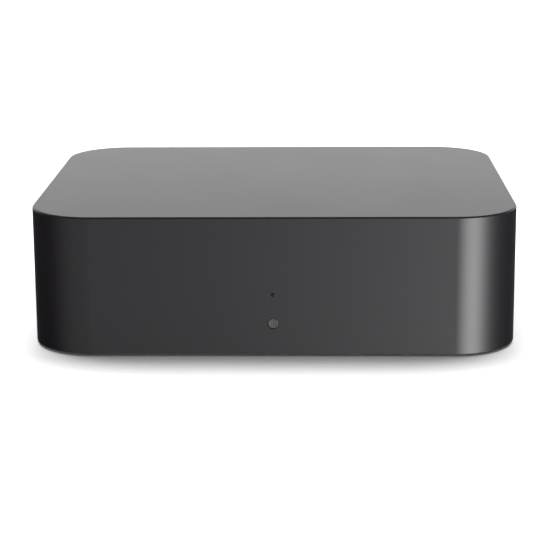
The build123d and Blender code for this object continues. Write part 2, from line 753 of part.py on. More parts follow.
def make_optical_shutter():
    """The sprung flap that closes the optical socket and swings inwards on its own pin."""
    x = row["optical"]
    width = OPTICAL_MOUTH_WIDTH - 2 * SHUTTER_CLEARANCE
    low = optical_mouth_z[0] + SHUTTER_CLEARANCE
    leaf = block(around(x, width), around(pin_y, SHUTTER_THICKNESS), (low, pin_z))
    knuckle = across(x, width, SHUTTER_THICKNESS / 2)
    return leaf + knuckle + across(x, shutter_pin_length(), SHUTTER_PIN_RADIUS)


def make_phono_block(name):
    """The insulating block of two phono sockets, one above the other, with collars through the panel."""
    x = row[name]
    z = (board_top, phono_heights[1] + PHONO_TOP_MARGIN)
    body = block(around(x, PHONO_WIDTH), (panel_inner - PHONO_DEPTH, panel_inner), z)
    collar_y = (panel_inner, rear_y)
    return body + [level(x, collar_y, height, COLLAR_RADIUS, FOOT_SIDES) for height in phono_heights]


def make_barrel(name, z):
    """A phono socket's outer metal contact, standing on its collar."""
    y = (rear_y, rear_y + SOCKET_REACH)
    sleeve = level(row[name], y, z, BARREL_RADIUS)
    inside = (y[0] - OVERRUN, y[1] + OVERRUN)
    return sleeve - level(row[name], inside, z, BARREL_RADIUS - BARREL_WALL, FOOT_SIDES)


def make_core(name, z):
    """A phono socket's coloured insulator, bored for the plug's pin."""
    y = (rear_y, rear_y + SOCKET_REACH - CORE_SINK)
    core = level(row[name], y, z, BARREL_RADIUS - BARREL_WALL, FOOT_SIDES)
    bore_y = (y[1] - CORE_BORE_DEPTH, y[1] + OVERRUN)
    return core - level(row[name], bore_y, z, CORE_BORE_RADIUS, BOSS_SIDES)


def make_jack(name):
    """A 3.5 mm socket: a block on the board and a round nose through the panel."""
    x = row[name]
    y = (panel_inner - JACK_DEPTH, panel_inner)
    body = block(around(x, JACK_WIDTH), y, (board_top, board_top + JACK_HEIGHT))
    body += level(x, (panel_inner, rear_y), jack_z, JACK_NOSE_RADIUS, FOOT_SIDES)
    return body - level(x, (rear_y - JACK_BORE_DEPTH, rear_y + OVERRUN), jack_z, JACK_BORE_RADIUS)


def inlet_slot(width, height, y):
    """A lying slot with round ends about the mains inlet's middle, between two depths."""
    return Pos(inlet_x, y[1], inlet_z) * Rot(90, 0, 0) * extrude(SlotOverall(width, height), y[1] - y[0])


def make_mains_inlet():
    """The two-pole mains inlet: a flanged body with a round-ended mouth."""
    body = block(around(inlet_x, INLET_WIDTH), (rear_y - INLET_DEPTH, rear_y), around(inlet_z, INLET_HEIGHT))
    flange = Rectangle(INLET_WIDTH + 2 * INLET_FLANGE_WIDTH, INLET_HEIGHT + 2 * INLET_FLANGE_WIDTH)
    flange = chamfer(flange.vertices(), INLET_EDGE)
    outside = rear_y + INLET_FLANGE_THICKNESS
    body += Pos(inlet_x, outside, inlet_z) * Rot(90, 0, 0) * extrude(flange, INLET_FLANGE_THICKNESS)
    mouth_y = (outside - INLET_MOUTH_DEPTH, outside + OVERRUN)
    body -= inlet_slot(INLET_MOUTH_WIDTH, INLET_MOUTH_HEIGHT, mouth_y)
    for x in around(inlet_x, PIN_SPACING):
        body -= level(x, (rear_y - INLET_DEPTH - OVERRUN, rear_y), inlet_z, PIN_RADIUS, BOSS_SIDES)
    return body


def make_mains_pins():
    """The inlet's two pins, which end in solder tails behind it."""
    floor_y = rear_y + INLET_FLANGE_THICKNESS - INLET_MOUTH_DEPTH
    y = (rear_y - INLET_DEPTH - PIN_TAIL, floor_y + PIN_REACH)
    return [level(x, y, inlet_z, PIN_RADIUS, BOSS_SIDES) for x in around(inlet_x, PIN_SPACING)]


# Main board

def make_board(board, screw_places):
    """A level circuit board with its screw holes."""
    sheet = block((board.left, board.right), (board.front, board.rear), (board_bottom, board_top))
    holes_z = (board_bottom - OVERRUN, board_top + OVERRUN)
    hole = BOARD_SHANK_RADIUS + HOLE_CLEARANCE
    return sheet - [upright(x, y, holes_z, hole, SCREW_SIDES) for x, y in screw_places]


def on_board(x, y, width, depth, height):
    """A block standing on a level board about a point."""
    return block(around(x, width), around(y, depth), (board_top, board_top + height))


def can(x, y, radius, height):
    """An electrolytic capacitor standing on a board."""
    body = upright(x, y, (board_top, board_top + height), radius, BOSS_SIDES)
    return chamfer(body.faces().sort_by(Axis.Z)[-1].edges(), CAN_CHAMFER)


def make_board_chips():
    """The two memory chips and the audio converter."""
    places = [main.at(place) for place in MEMORY_SHARES]
    chips = [on_board(x, y, MEMORY_LENGTH, MEMORY_WIDTH, CHIP_HEIGHT) for x, y in places]
    x, y = main.at(CONVERTER_SHARES)
    return chips + [on_board(x, y, CONVERTER_WIDTH, CONVERTER_WIDTH, CHIP_HEIGHT)]


def make_heatsink():
    """A finned block on the processor's pad."""
    x, y = main.at(PROCESSOR_SHARES)
    low = board_top + PROCESSOR_HEIGHT + PAD_HEIGHT
    sink = block(around(x, HEATSINK_WIDTH), around(y, HEATSINK_WIDTH), (low, low + HEATSINK_BASE))
    step = (HEATSINK_WIDTH - FIN_THICKNESS) / (FIN_COUNT - 1)
    fin_z = (low + HEATSINK_BASE, low + HEATSINK_BASE + FIN_HEIGHT)
    for index in range(FIN_COUNT):
        fin_x = x - HEATSINK_WIDTH / 2 + FIN_THICKNESS / 2 + index * step
        sink += block(around(fin_x, FIN_THICKNESS), around(y, HEATSINK_WIDTH), fin_z)
    return sink


def make_processor_pad():
    """The soft pad between the processor and its heatsink."""
    x, y = main.at(PROCESSOR_SHARES)
    z = (board_top + PROCESSOR_HEIGHT, board_top + PROCESSOR_HEIGHT + PAD_HEIGHT)
    return block(around(x, PROCESSOR_WIDTH), around(y, PROCESSOR_WIDTH), z)


def make_audio_cans():
    """The audio stage's row of capacitors."""
    x, y = main.at(AUDIO_CAN_SHARES)
    rows = [y + index * AUDIO_CAN_PITCH for index in range(AUDIO_CAN_COUNT)]
    return [can(x, place, AUDIO_CAN_RADIUS, AUDIO_CAN_HEIGHT) for place in rows]


def make_wifi_can():
    """The pressed screening can over the radio module's chips."""
    x, y = main.at(WIFI_SHARES)
    left = x - WIFI_LENGTH / 2 + WIFI_CAN_MARGIN
    low = board_top + WIFI_THICKNESS
    width = WIFI_WIDTH - 2 * WIFI_CAN_MARGIN
    return block((left, left + WIFI_CAN_LENGTH), around(y, width), (low, low + WIFI_CAN_HEIGHT))


# Power board

def make_transformer_core():
    """A square ferrite frame, standing, with one leg down its middle."""
    x, y = power.at(TRANSFORMER_SHARES)
    core = on_board(x, y, CORE_LENGTH, CORE_DEPTH, CORE_HEIGHT)
    window = (CORE_LENGTH - 4 * CORE_LEG) / 2
    window_z = (board_top + CORE_LEG, board_top + CORE_HEIGHT - CORE_LEG)
    window_y = around(y, CORE_DEPTH + 2 * OVERRUN)
    for side in (-1, 1):
        core -= block(around(x + side * (CORE_LEG + window / 2), window), window_y, window_z)
    return core


def make_transformer_winding():
    """The winding round the core's middle leg, on its bobbin."""
    x, y = power.at(TRANSFORMER_SHARES)
    window = (CORE_LENGTH - 4 * CORE_LEG) / 2
    width = 2 * (CORE_LEG + window - BOBBIN_GAP)
    z = (board_top + CORE_LEG, board_top + CORE_HEIGHT - CORE_LEG)
    coil = block(around(x, width), around(y, CORE_DEPTH + 2 * BOBBIN_MARGIN), z)
    coil = chamfer(coil.edges().filter_by(Axis.Z), window / 2)
    return coil - block(around(x, 2 * CORE_LEG), around(y, CORE_DEPTH), z)


def make_choke():
    """The ring choke of the mains filter, lying flat."""
    x, y = power.at(CHOKE_SHARES)
    ring = upright(x, y, (board_top, board_top + CHOKE_HEIGHT), CHOKE_RADIUS, BOSS_SIDES)
    ring = chamfer(ring.faces().sort_by(Axis.Z)[-1].edges(), CHOKE_CHAMFER)
    bore_z = (board_top - OVERRUN, board_top + CHOKE_HEIGHT + OVERRUN)
    return ring - upright(x, y, bore_z, CHOKE_BORE, BOSS_SIDES)


def make_filter_capacitor():
    """The boxed capacitor across the mains."""
    box = on_board(*power.at(FILTER_SHARES), FILTER_LENGTH, FILTER_WIDTH, FILTER_HEIGHT)
    return chamfer(box.faces().sort_by(Axis.Z)[-1].edges(), FILTER_CHAMFER)


def make_cooler():
    """A finned aluminium section that stands along the power board's side."""
    x, y = power.at(COOLER_SHARES)
    z = (board_top, board_top + COOLER_HEIGHT)
    web = block(around(x, COOLER_WEB), around(y, COOLER_LENGTH), z)
    step = (COOLER_LENGTH - COOLER_WEB) / (COOLER_FIN_COUNT - 1)
    fin_x = (x - COOLER_WEB / 2 - COOLER_FIN, x)
    for index in range(COOLER_FIN_COUNT):
        fin_y = y - COOLER_LENGTH / 2 + COOLER_WEB / 2 + index * step
        web += block(fin_x, around(fin_y, COOLER_WEB / 2), z)
    return web


def make_transistors():
    """The two switching transistors flat against the cooler, on their legs."""
    x, y = power.at(COOLER_SHARES)
    face = x + COOLER_WEB / 2
    z = (board_top + TRANSISTOR_LEGS, board_top + TRANSISTOR_LEGS + TRANSISTOR_HEIGHT)
    pieces = []
    for side in (-1, 1):
        middle = y + side * COOLER_LENGTH / 4
        body = block((face, face + TRANSISTOR_THICKNESS), around(middle, TRANSISTOR_WIDTH), z)
        leg_x = around(face + TRANSISTOR_THICKNESS / 2, TRANSISTOR_THICKNESS / 4)
        for leg in (-1, 0, 1):
            leg_y = around(middle + leg * TRANSISTOR_WIDTH / 4, TRANSISTOR_THICKNESS / 4)
            body += block(leg_x, leg_y, (board_top, z[0]))
        pieces.append(body)
    return pieces


def make_output_cans():
    """The capacitors across the power supply's output."""
    x, y = power.at(OUTPUT_CAN_SHARES)
    first = x - OUTPUT_CAN_PITCH * (OUTPUT_CAN_COUNT - 1) / 2
    places = [first + index * OUTPUT_CAN_PITCH for index in range(OUTPUT_CAN_COUNT)]
    return [can(place, y, OUTPUT_CAN_RADIUS, OUTPUT_CAN_HEIGHT) for place in places]


# Leads

def tube(points, bend, radius):
    """A lead along straight runs joined by arcs."""
    path = FilletPolyline(*points, radius=bend)
    section = Plane(origin=path @ 0, z_dir=path % 0) * RegularPolygon(radius, LEAD_SIDES)
    return sweep(section, path=path, transition=Transition.RIGHT)


mains_plug = (inlet_x, power.rear - PLUG_MARGIN - PLUG_DEPTH / 2)
harness_y = main.front + SCREW_INSET + BOARD_HEAD_RADIUS + PLUG_TO_SCREW + PLUG_DEPTH / 2
power_plug = (power.at((POWER_PLUG_SHARE, 0))[0], harness_y)
main_plug = (main.at((MAIN_PLUG_SHARE, 0))[0], harness_y)


def make_mains_leads():
    """Two insulated leads from the inlet's tails down to the power board's plug."""
    start = rear_y - INLET_DEPTH - PIN_TAIL
    low = board_top + PLUG_HEIGHT
    turn = LEAD_TURN_SHARE * min(start - mains_plug[1], inlet_z - low)
    path = Polyline(
        (start, inlet_z),
        (mains_plug[1] + turn, inlet_z),
        (mains_plug[1], inlet_z - turn),
        (mains_plug[1], low),
    )
    lead = extrude(Plane.YZ * trace(path, MAINS_LEAD_WIDTH), MAINS_LEAD_WIDTH / 2, both=True)
    return [Pos(x, 0, 0) * lead for x in around(inlet_x, PIN_SPACING)]


def make_power_harness():
    """The flat lead that arches from the power board's plug to the main board's."""
    low = board_top + PLUG_HEIGHT
    high = low + HARNESS_RISE
    start, end = power_plug[0], main_plug[0]
    path = FilletPolyline((start, low), (start, high), (end, high), (end, low), radius=HARNESS_BEND)
    strap = extrude(Plane.XZ * trace(path, HARNESS_THICKNESS), HARNESS_WIDTH / 2, both=True)
    return Pos(0, harness_y, 0) * strap


def ribbon_socket_places():
    """The ribbon's two ends: a depth and height behind the front board, and a depth on the main board."""
    upper = (front_board_back + RIBBON_SOCKET_HEIGHT, (button_z + window_z) / 2)
    lower = main.front + RIBBON_SOCKET_DEPTH
    return upper, lower


def make_ribbon_sockets():
    """The two low sockets that hold the ribbon's ends."""
    upper, lower = ribbon_socket_places()
    x = around(0, RIBBON_SOCKET_WIDTH)
    first = block(x, (front_board_back, upper[0]), around(upper[1], RIBBON_SOCKET_DEPTH))
    second = block(x, around(lower, RIBBON_SOCKET_DEPTH), (board_top, board_top + RIBBON_SOCKET_HEIGHT))
    return [first, second]


def make_ribbon():
    """The flat flexible cable from the front board down to the main board."""
    upper, lower = ribbon_socket_places()
    low = board_top + RIBBON_SOCKET_HEIGHT
    path = FilletPolyline((upper[0], upper[1]), (lower, upper[1]), (lower, low), radius=RIBBON_BEND)
    strip = extrude(Plane.YZ * trace(path, RIBBON_THICKNESS), RIBBON_WIDTH / 2, both=True)
    return strip


# Aerials

def make_side_aerial():
    """The aerial on the inside of the right wall."""
    y = main.at(WIFI_SHARES)[1]
    z = around(body_bottom + AERIAL_LIFT, AERIAL_HEIGHT)
    return block((side_inner - AERIAL_THICKNESS, side_inner), around(y, AERIAL_LENGTH), z)


def make_front_aerial():
    """The aerial on the inside of the front wall's straight run, as far right as it goes."""
    x = BODY_WIDTH / 2 - CORNER_RADIUS - AERIAL_LENGTH / 2
    z = around(body_bottom + AERIAL_LIFT, AERIAL_HEIGHT)
    return block(around(x, AERIAL_LENGTH), (front_inner, front_inner + AERIAL_THICKNESS), z)


def aerial_lead_foot(side):
    """Where an aerial's lead plugs into the radio module."""
    x, y = main.at(WIFI_SHARES)
    return x + WIFI_LENGTH / 2 - 2 * AERIAL_LEAD_RADIUS - WIFI_CAN_MARGIN, y + side * WIFI_WIDTH / 4


def make_side_aerial_lead():
    """The thin lead from the side aerial to the radio module."""
    foot_x, foot_y = aerial_lead_foot(1)
    high = body_bottom + AERIAL_LIFT
    start = side_inner - AERIAL_THICKNESS
    points = [(start, foot_y, high), (foot_x, foot_y, high), (foot_x, foot_y, board_top + WIFI_THICKNESS)]
    return tube(points, AERIAL_BEND, AERIAL_LEAD_RADIUS)


def make_front_aerial_lead():
    """The thin lead from the front aerial to the radio module."""
    foot_x, foot_y = aerial_lead_foot(-1)
    high = body_bottom + AERIAL_LIFT
    start = front_inner + AERIAL_THICKNESS
    points = [(foot_x, start, high), (foot_x, foot_y, high), (foot_x, foot_y, board_top + WIFI_THICKNESS)]
    return tube(points, AERIAL_BEND, AERIAL_LEAD_RADIUS)


# Front controls

def make_button():
    """The round push button: an eased cap, a flange that keeps it in, and a stem that meets the switch."""
    crown_y = front_y + BUTTON_SINK
    flange_y = front_inner + BUTTON_REST_GAP
    flange_back = flange_y + BUTTON_FLANGE_THICKNESS
    stem_y = plunger_tip()
    cap = level(0, (crown_y, flange_y), button_z, BUTTON_RADIUS)
    cap = chamfer(cap.faces().sort_by(Axis.Y)[0].edges(), BUTTON_EDGE)
    cap += level(0, (flange_y, flange_back), button_z, BUTTON_FLANGE_RADIUS, BOSS_SIDES)
    return cap + level(0, (flange_back, stem_y), button_z, BUTTON_STEM_RADIUS, BOSS_SIDES)


def plunger_tip():
    """How far forward the switch's plunger reaches, where the button's stem meets it."""
    free = front_board_y - SWITCH_HEIGHT - front_inner - BUTTON_REST_GAP - BUTTON_FLANGE_THICKNESS
    return front_board_y - SWITCH_HEIGHT - free / 2


def make_switch():
    """The switch body on the front board, bored for its plunger."""
    y = (front_board_y - SWITCH_HEIGHT, front_board_y)
    body = block(around(0, SWITCH_WIDTH), y, around(button_z, SWITCH_WIDTH))
    depth = PLUNGER_BURIED + BUTTON_TRAVEL + PLUNGER_ROOM
    return body - level(0, (y[0] - OVERRUN, y[0] + depth), button_z, PLUNGER_RADIUS + PLUNGER_CLEARANCE)


def make_plunger():
    """The switch's moving plunger."""
    y = (plunger_tip(), front_board_y - SWITCH_HEIGHT + PLUNGER_BURIED)
    return level(0, y, button_z, PLUNGER_RADIUS)


def make_light_pipe():
    """The smoked rod in the small front hole, wider behind the wall over the lamp and the sensor."""
    back = front_board_y - SENSOR_HEIGHT - HORN_GAP
    pipe = level(0, (front_y + WINDOW_SINK, front_inner), window_z, WINDOW_RADIUS)
    return pipe + level(0, (front_inner, back), window_z, HORN_RADIUS, BOSS_SIDES)


def make_front_board():
    """The upright board behind the front wall."""
    low = button_z - FRONT_BOARD_BELOW
    high = window_z + FRONT_BOARD_ABOVE
    width = 2 * (FRONT_BOSS_REACH + FRONT_BOARD_MARGIN)
    sheet = block(around(0, width), (front_board_y, front_board_back), (low, high))
    through = (front_board_y - OVERRUN, front_board_back + OVERRUN)
    hole = BOARD_SHANK_RADIUS + HOLE_CLEARANCE
    return sheet - [level(x, through, z, hole, SCREW_SIDES) for x, z in front_boss_places()]


def make_board_screws():
    """The screws of all three boards, which are alike."""
    places = board_screw_places(main, REAR_SCREW_INSET) + board_screw_places(power, SCREW_INSET)
    level_boards = [Pos(x, y, board_top) * board_screw() for x, y in places]
    turned = Rot(-90, 0, 0) * board_screw()
    return level_boards + [Pos(x, front_board_back, z) * turned for x, z in front_boss_places()]


def make_lamp():
    """The status lamp on the front board."""
    x = -SENSOR_GAP / 2 - LED_WIDTH / 2
    y = (front_board_y - LED_HEIGHT, front_board_y)
    return block(around(x, LED_WIDTH), y, around(window_z, LED_LENGTH))


def make_sensor():
    """The remote control's sensor beside the lamp."""
    x = SENSOR_GAP / 2 + SENSOR_WIDTH / 2
    y = (front_board_y - SENSOR_HEIGHT, front_board_y)
    return block(around(x, SENSOR_WIDTH), y, around(window_z, SENSOR_LENGTH))


def save_case():
    """Writes the shell, the base plate, the panel, the feet and their screws."""
    save("top_shell", make_top_shell())
    save("base_plate", make_base_plate())
    save("rear_panel", make_rear_panel())
    save("feet", *[make_foot(*place) for place in foot_places()])
    save("case_screws", *make_case_screws())
    save("rear_panel_screws", *make_panel_screws())


def save_sockets():
    """Writes everything that shows in the connection panel."""
    save("ethernet_socket", make_ethernet_socket())
    save("ethernet_contacts", *make_ethernet_contacts())
    save("usb_socket", make_usb_socket())
    save("usb_tongue", make_usb_tongue())
    save("optical_output", make_optical_output())
    save("optical_shutter", make_optical_shutter())
    save("phono_blocks", make_phono_block("digital"), make_phono_block("line"))
    save("phono_barrels", *[make_barrel(name, z) for name in ("digital", "line") for z in phono_heights])
    low, high = phono_heights
    save("coaxial_output_core", make_core("digital", low))
    save("subwoofer_output_core", make_core("digital", high))
    save("right_output_core", make_core("line", low))
    save("left_output_core", make_core("line", high))
    save("trigger_jack", make_jack("trigger"))
    save("infrared_jack", make_jack("infrared"))
    save("mains_inlet", make_mains_inlet())
    save("mains_pins", *make_mains_pins())


def save_main_board():
    """Writes the main board and what stands on it, and the screws of all the boards."""
    save("main_board", make_board(main, board_screw_places(main, REAR_SCREW_INSET)))
    save("board_screws", *make_board_screws())
    chip = (PROCESSOR_WIDTH, PROCESSOR_WIDTH, PROCESSOR_HEIGHT)
    save("processor", on_board(*main.at(PROCESSOR_SHARES), *chip))
    save("processor_pad", make_processor_pad())
    save("processor_heatsink", make_heatsink())
    save("board_chips", *make_board_chips())
    save("audio_capacitors", *make_audio_cans())
    save("wifi_module", on_board(*main.at(WIFI_SHARES), WIFI_LENGTH, WIFI_WIDTH, WIFI_THICKNESS))
    save("wifi_screening_can", make_wifi_can())
    save("aerials", make_side_aerial(), make_front_aerial())
    save("aerial_leads", make_side_aerial_lead(), make_front_aerial_lead())


def save_power_board():
    """Writes the power board, what stands on it and the leads to and from it."""
    places = board_screw_places(power, SCREW_INSET)
    save("power_board", make_board(power, places))
    save("insulating_sheet", make_insulating_sheet(places))
    save("transformer_core", make_transformer_core())
    save("transformer_winding", make_transformer_winding())
    save("filter_choke", make_choke())
    save("filter_capacitor", make_filter_capacitor())
    save("bulk_capacitor", can(*power.at(BULK_SHARES), BULK_RADIUS, BULK_HEIGHT))
    save("output_capacitors", *make_output_cans())
    save("power_cooler", make_cooler())
    save("power_transistors", *make_transistors())
    save("fuse", on_board(*power.at(FUSE_SHARES), FUSE_WIDTH, FUSE_LENGTH, FUSE_HEIGHT))
    save("mains_leads", *make_mains_leads())
    plugs = [mains_plug, power_plug, main_plug]
    save("lead_plugs", *[on_board(*place, PLUG_WIDTH, PLUG_DEPTH, PLUG_HEIGHT) for place in plugs])
    save("power_harness", make_power_harness())


def make_insulating_sheet(places):
    """The sheet on the base plate under the power board, holed for the standoffs."""
    x = (power.left - SHEET_MARGIN, power.right + SHEET_MARGIN)
    y = (power.front - SHEET_MARGIN, power.rear + SHEET_MARGIN)
    sheet = block(x, y, (plate_top, plate_top + SHEET_THICKNESS))
    holes_z = (plate_top - OVERRUN, plate_top + SHEET_THICKNESS + OVERRUN)
    hole = STANDOFF_RADIUS + HOLE_CLEARANCE
    return sheet - [upright(*place, holes_z, hole, SCREW_SIDES) for place in places]


def save_front_controls():
    """Writes the button, its switch, the indicator and the board behind them."""
    save("front_button", make_button())
    save("power_switch", make_switch())
    save("switch_plunger", make_plunger())
    save("light_pipe", make_light_pipe())
    save("front_board", make_front_board())
    save("status_lamp", make_lamp())
    save("remote_sensor", make_sensor())
    save("ribbon_sockets", *make_ribbon_sockets())
    save("ribbon_cable", make_ribbon())


os.makedirs("parts", exist_ok=True)
save_case()
save_sockets()
save_main_board()
save_power_board()
save_front_controls()
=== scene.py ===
"""The looks of a network music streamer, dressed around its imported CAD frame.

Everything is in metres, in the frame's own axes: +X is right seen from the front, +Y is the back, +Z is up.
"""

from __future__ import annotations

import json
import logging
import math
from dataclasses import dataclass
from enum import Enum
from typing import ClassVar, Iterable, Sequence

import bmesh
import bpy
from mathutils import Euler, Matrix, Vector

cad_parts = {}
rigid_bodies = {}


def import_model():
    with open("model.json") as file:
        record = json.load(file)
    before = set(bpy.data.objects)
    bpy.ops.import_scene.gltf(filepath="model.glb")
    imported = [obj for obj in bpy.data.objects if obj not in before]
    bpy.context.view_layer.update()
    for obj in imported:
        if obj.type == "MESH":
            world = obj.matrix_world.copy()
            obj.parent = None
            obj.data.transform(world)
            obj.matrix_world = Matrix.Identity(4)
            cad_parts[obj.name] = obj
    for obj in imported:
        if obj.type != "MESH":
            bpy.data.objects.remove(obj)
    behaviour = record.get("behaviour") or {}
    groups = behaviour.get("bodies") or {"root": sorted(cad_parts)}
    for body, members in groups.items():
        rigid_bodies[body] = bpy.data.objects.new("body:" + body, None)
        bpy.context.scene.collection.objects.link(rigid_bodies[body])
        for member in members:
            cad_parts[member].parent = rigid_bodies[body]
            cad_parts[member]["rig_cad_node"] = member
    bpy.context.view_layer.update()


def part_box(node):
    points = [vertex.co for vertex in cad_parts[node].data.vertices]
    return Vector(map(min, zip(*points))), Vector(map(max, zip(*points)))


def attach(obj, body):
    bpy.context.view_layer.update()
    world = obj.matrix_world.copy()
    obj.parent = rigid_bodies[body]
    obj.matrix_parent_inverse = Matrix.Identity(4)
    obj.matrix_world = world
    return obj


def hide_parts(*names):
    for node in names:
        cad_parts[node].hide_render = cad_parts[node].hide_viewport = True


LOG = logging.getLogger("streamer")

MM = 0.001
SHARP_ANGLE = math.radians(35)
FLAT_ANGLE = math.radians(0.2)
HALF_TURN = 180.0
BROAD_SPIN_STEPS = 64
SPIN_STEPS = 48
SMALL_SPIN_STEPS = 32
OVERRUN = 1.0 * MM
BURIED = 0.2 * MM
TOUCHING = 0.001 * MM
WELD = 0.0001 * MM
MICRON_DIGITS = 6
ALIGNED_SHARE = 0.999
LARGE_FACE_WEIGHT = 100
DEPTH_AXIS = 1
HEIGHT_AXIS = 2

SCREEN_OFFSET = 0.055
SCREEN_POWER = 2.4
SCREEN_KNEE = 0.04045
SCREEN_SLOPE = 12.92
NOISE_ROUGHNESS = 0.55
PATTERN_MIDDLE = (0.3, 0.7)
WAVE_RADIANS = 20.0
PLASTIC_CAST = (1.0, 0.985, 1.01)

Pair = tuple[float, float]
Profile = Sequence[Pair]
Shade = tuple[float, float, float]


class Body(str, Enum):
    """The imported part's bodies that new pieces ride on."""

    CASE = "case"
    BUTTON = "button"


class Facing(Enum):
    """The way that a turned piece's far end points."""

    UP = (0.0, 0.0, 0.0)
    DOWN = (math.pi, 0.0, 0.0)
    BACK = (-math.pi / 2, 0.0, 0.0)


class Along(Enum):
    """The axis that brushed lines run along, and that even stripes follow one another along."""

    X = "X"
    Y = "Y"
    Z = "Z"


def linear(shade: Shade) -> tuple[float, float, float, float]:
    """Turns a colour seen on a screen, in shares of one, into the light that it stands for.

    Args:
        shade: Red, green and blue as a screen shows them.

    Returns:
        The linear colour with a full alpha.
    """
    light = []
    for part in shade:
        if part > SCREEN_KNEE:
            light.append(((part + SCREEN_OFFSET) / (1.0 + SCREEN_OFFSET)) ** SCREEN_POWER)
        else:
            light.append(part / SCREEN_SLOPE)
    return (*light, 1.0)


# Materials


class Sheet:
    """A node tree, filled one node at a time."""

    def __init__(self, tree: bpy.types.NodeTree) -> None:
        """Takes a tree and clears it."""
        self.tree = tree
        self.tree.nodes.clear()

    def feed(self, socket: bpy.types.NodeSocket, value: object) -> None:
        """Gives an input a constant or another node's output."""
        if isinstance(value, bpy.types.NodeSocket):
            self.tree.links.new(value, socket)
        else:
            socket.default_value = value

    def add(self, kind: str, settings: dict[str, object], values: dict[str, object]) -> bpy.types.Node:
        """Adds a node.

        Args:
            kind: The node's type.
            settings: Its own properties.
            values: Constants or other nodes' outputs, by input name.

        Returns:
            The node.
        """
        node = self.tree.nodes.new(kind)
        for name, setting in settings.items():
            setattr(node, name, setting)
        for name, value in values.items():
            self.feed(node.inputs[name], value)
        return node

    def maths(self, operation: str, first: object, second: object) -> bpy.types.NodeSocket:
        """Works on two values, each a number or an output."""
        node = self.add("ShaderNodeMath", {"operation": operation}, {})
        for socket, value in zip(node.inputs, (first, second)):
            self.feed(socket, value)
        return node.outputs[0]

    def ranged(self, source: bpy.types.NodeSocket, given: Pair, wanted: Pair) -> bpy.types.NodeSocket:
        """Maps one range of a value onto another, and holds its ends."""
        names = ("From Min", "From Max", "To Min", "To Max")
        values = {"Value": source, **dict(zip(names, given + wanted))}
        return self.add("ShaderNodeMapRange", {}, values).outputs["Result"]

    def mixed(self, share: bpy.types.NodeSocket, low: object, high: object) -> bpy.types.NodeSocket:
        """Goes from one value to another, each a number or an output, as the share goes from 0 to 1."""
        node = self.add("ShaderNodeMix", {}, {})
        numbers = [socket for socket in node.inputs if socket.type == "VALUE"]
        for socket, value in zip(numbers, (share, low, high)):
            self.feed(socket, value)
        return node.outputs[0]


class Graph(Sheet):
    """A material's nodes around one main shader."""

    def __init__(self, name: str) -> None:
        """Starts a material with one main shader."""
        self.material = bpy.data.materials.new(name)
        self.material.use_nodes = True
        super().__init__(self.material.node_tree)
        self.shader = self.add("ShaderNodeBsdfPrincipled", {}, {})
        self.add("ShaderNodeOutputMaterial", {}, {"Surface": self.shader.outputs["BSDF"]})
        self.place = self.add("ShaderNodeTexCoord", {}, {}).outputs["Object"]

    def stretched(self, along: Along, factor: float) -> bpy.types.NodeSocket:
        """The object's coordinates, squeezed along one axis so that a pattern draws out along it."""
        scale = [1.0 / factor if axis == along.value else 1.0 for axis in "XYZ"]
        return self.add("ShaderNodeMapping", {}, {"Vector": self.place, "Scale": scale}).outputs["Vector"]

    def noise(
        self, size: float, detail: float = 2.0, where: bpy.types.NodeSocket | None = None
    ) -> bpy.types.NodeSocket:
        """A soft random pattern.

        Args:
            size: The length of one blotch in metres.
            detail: How many finer layers it has.
            where: The coordinates to read, or the object's own.

        Returns:
            The pattern, from 0 to 1.
        """
        values = {"Vector": where or self.place, "Scale": 1.0 / size, "Detail": detail}
        values["Roughness"] = NOISE_ROUGHNESS
        return self.add("ShaderNodeTexNoise", {}, values).outputs["Fac"]

    def cells(self, size: float, feature: str = "F1") -> bpy.types.NodeSocket:
        """The distance to the nearest of many scattered points, or to the border between them."""
        values = {"Vector": self.place, "Scale": 1.0 / size}
        return self.add("ShaderNodeTexVoronoi", {"feature": feature}, values).outputs["Distance"]

    def bands(self, pitch: float, along: Along) -> bpy.types.NodeSocket:
        """Straight even stripes, one to each pitch."""
        settings = {"wave_type": "BANDS", "bands_direction": along.value, "wave_profile": "SIN"}
        values = {"Vector": self.place, "Scale": 2 * math.pi / (WAVE_RADIANS * pitch)}
        return self.add("ShaderNodeTexWave", settings, values).outputs["Fac"]

    def spread(self, source: bpy.types.NodeSocket, low: float, high: float) -> bpy.types.NodeSocket:
        """Maps the middle of a pattern onto a range of values."""
        return self.ranged(source, PATTERN_MIDDLE, (low, high))

    def step(self, source: bpy.types.NodeSocket, edge: float, width: float) -> bpy.types.NodeSocket:
        """One below an edge and zero above it, with a soft change between."""
        return self.ranged(source, (edge, edge + width), (1.0, 0.0))

    def blend(
        self,
        share: bpy.types.NodeSocket,
        low: Shade | bpy.types.NodeSocket,
        high: Shade | bpy.types.NodeSocket,
    ) -> bpy.types.NodeSocket:
        """Mixes two colours, each a shade or an output, by a pattern."""
        node = self.add("ShaderNodeMix", {"data_type": "RGBA"}, {"Factor": share})
        colours = [socket for socket in node.inputs if socket.type == "RGBA"]
        for socket, colour in zip(colours, (low, high)):
            self.feed(socket, colour if isinstance(colour, bpy.types.NodeSocket) else linear(colour))
        return next(socket for socket in node.outputs if socket.type == "RGBA")

    def relief(
        self, height: bpy.types.NodeSocket, depth: float, under: bpy.types.NodeSocket | None = None
    ) -> bpy.types.NodeSocket:
        """Turns a pattern into a bumpy surface of a real depth, on top of another one."""
        values = {"Height": height, "Distance": depth, "Strength": 1.0}
        if under is not None:
            values["Normal"] = under
        return self.add("ShaderNodeBump", {}, values).outputs["Normal"]

    def set(self, name: str, value: object) -> None:
        """Sets or feeds one of the main shader's inputs."""
        self.feed(self.shader.inputs[name], value)


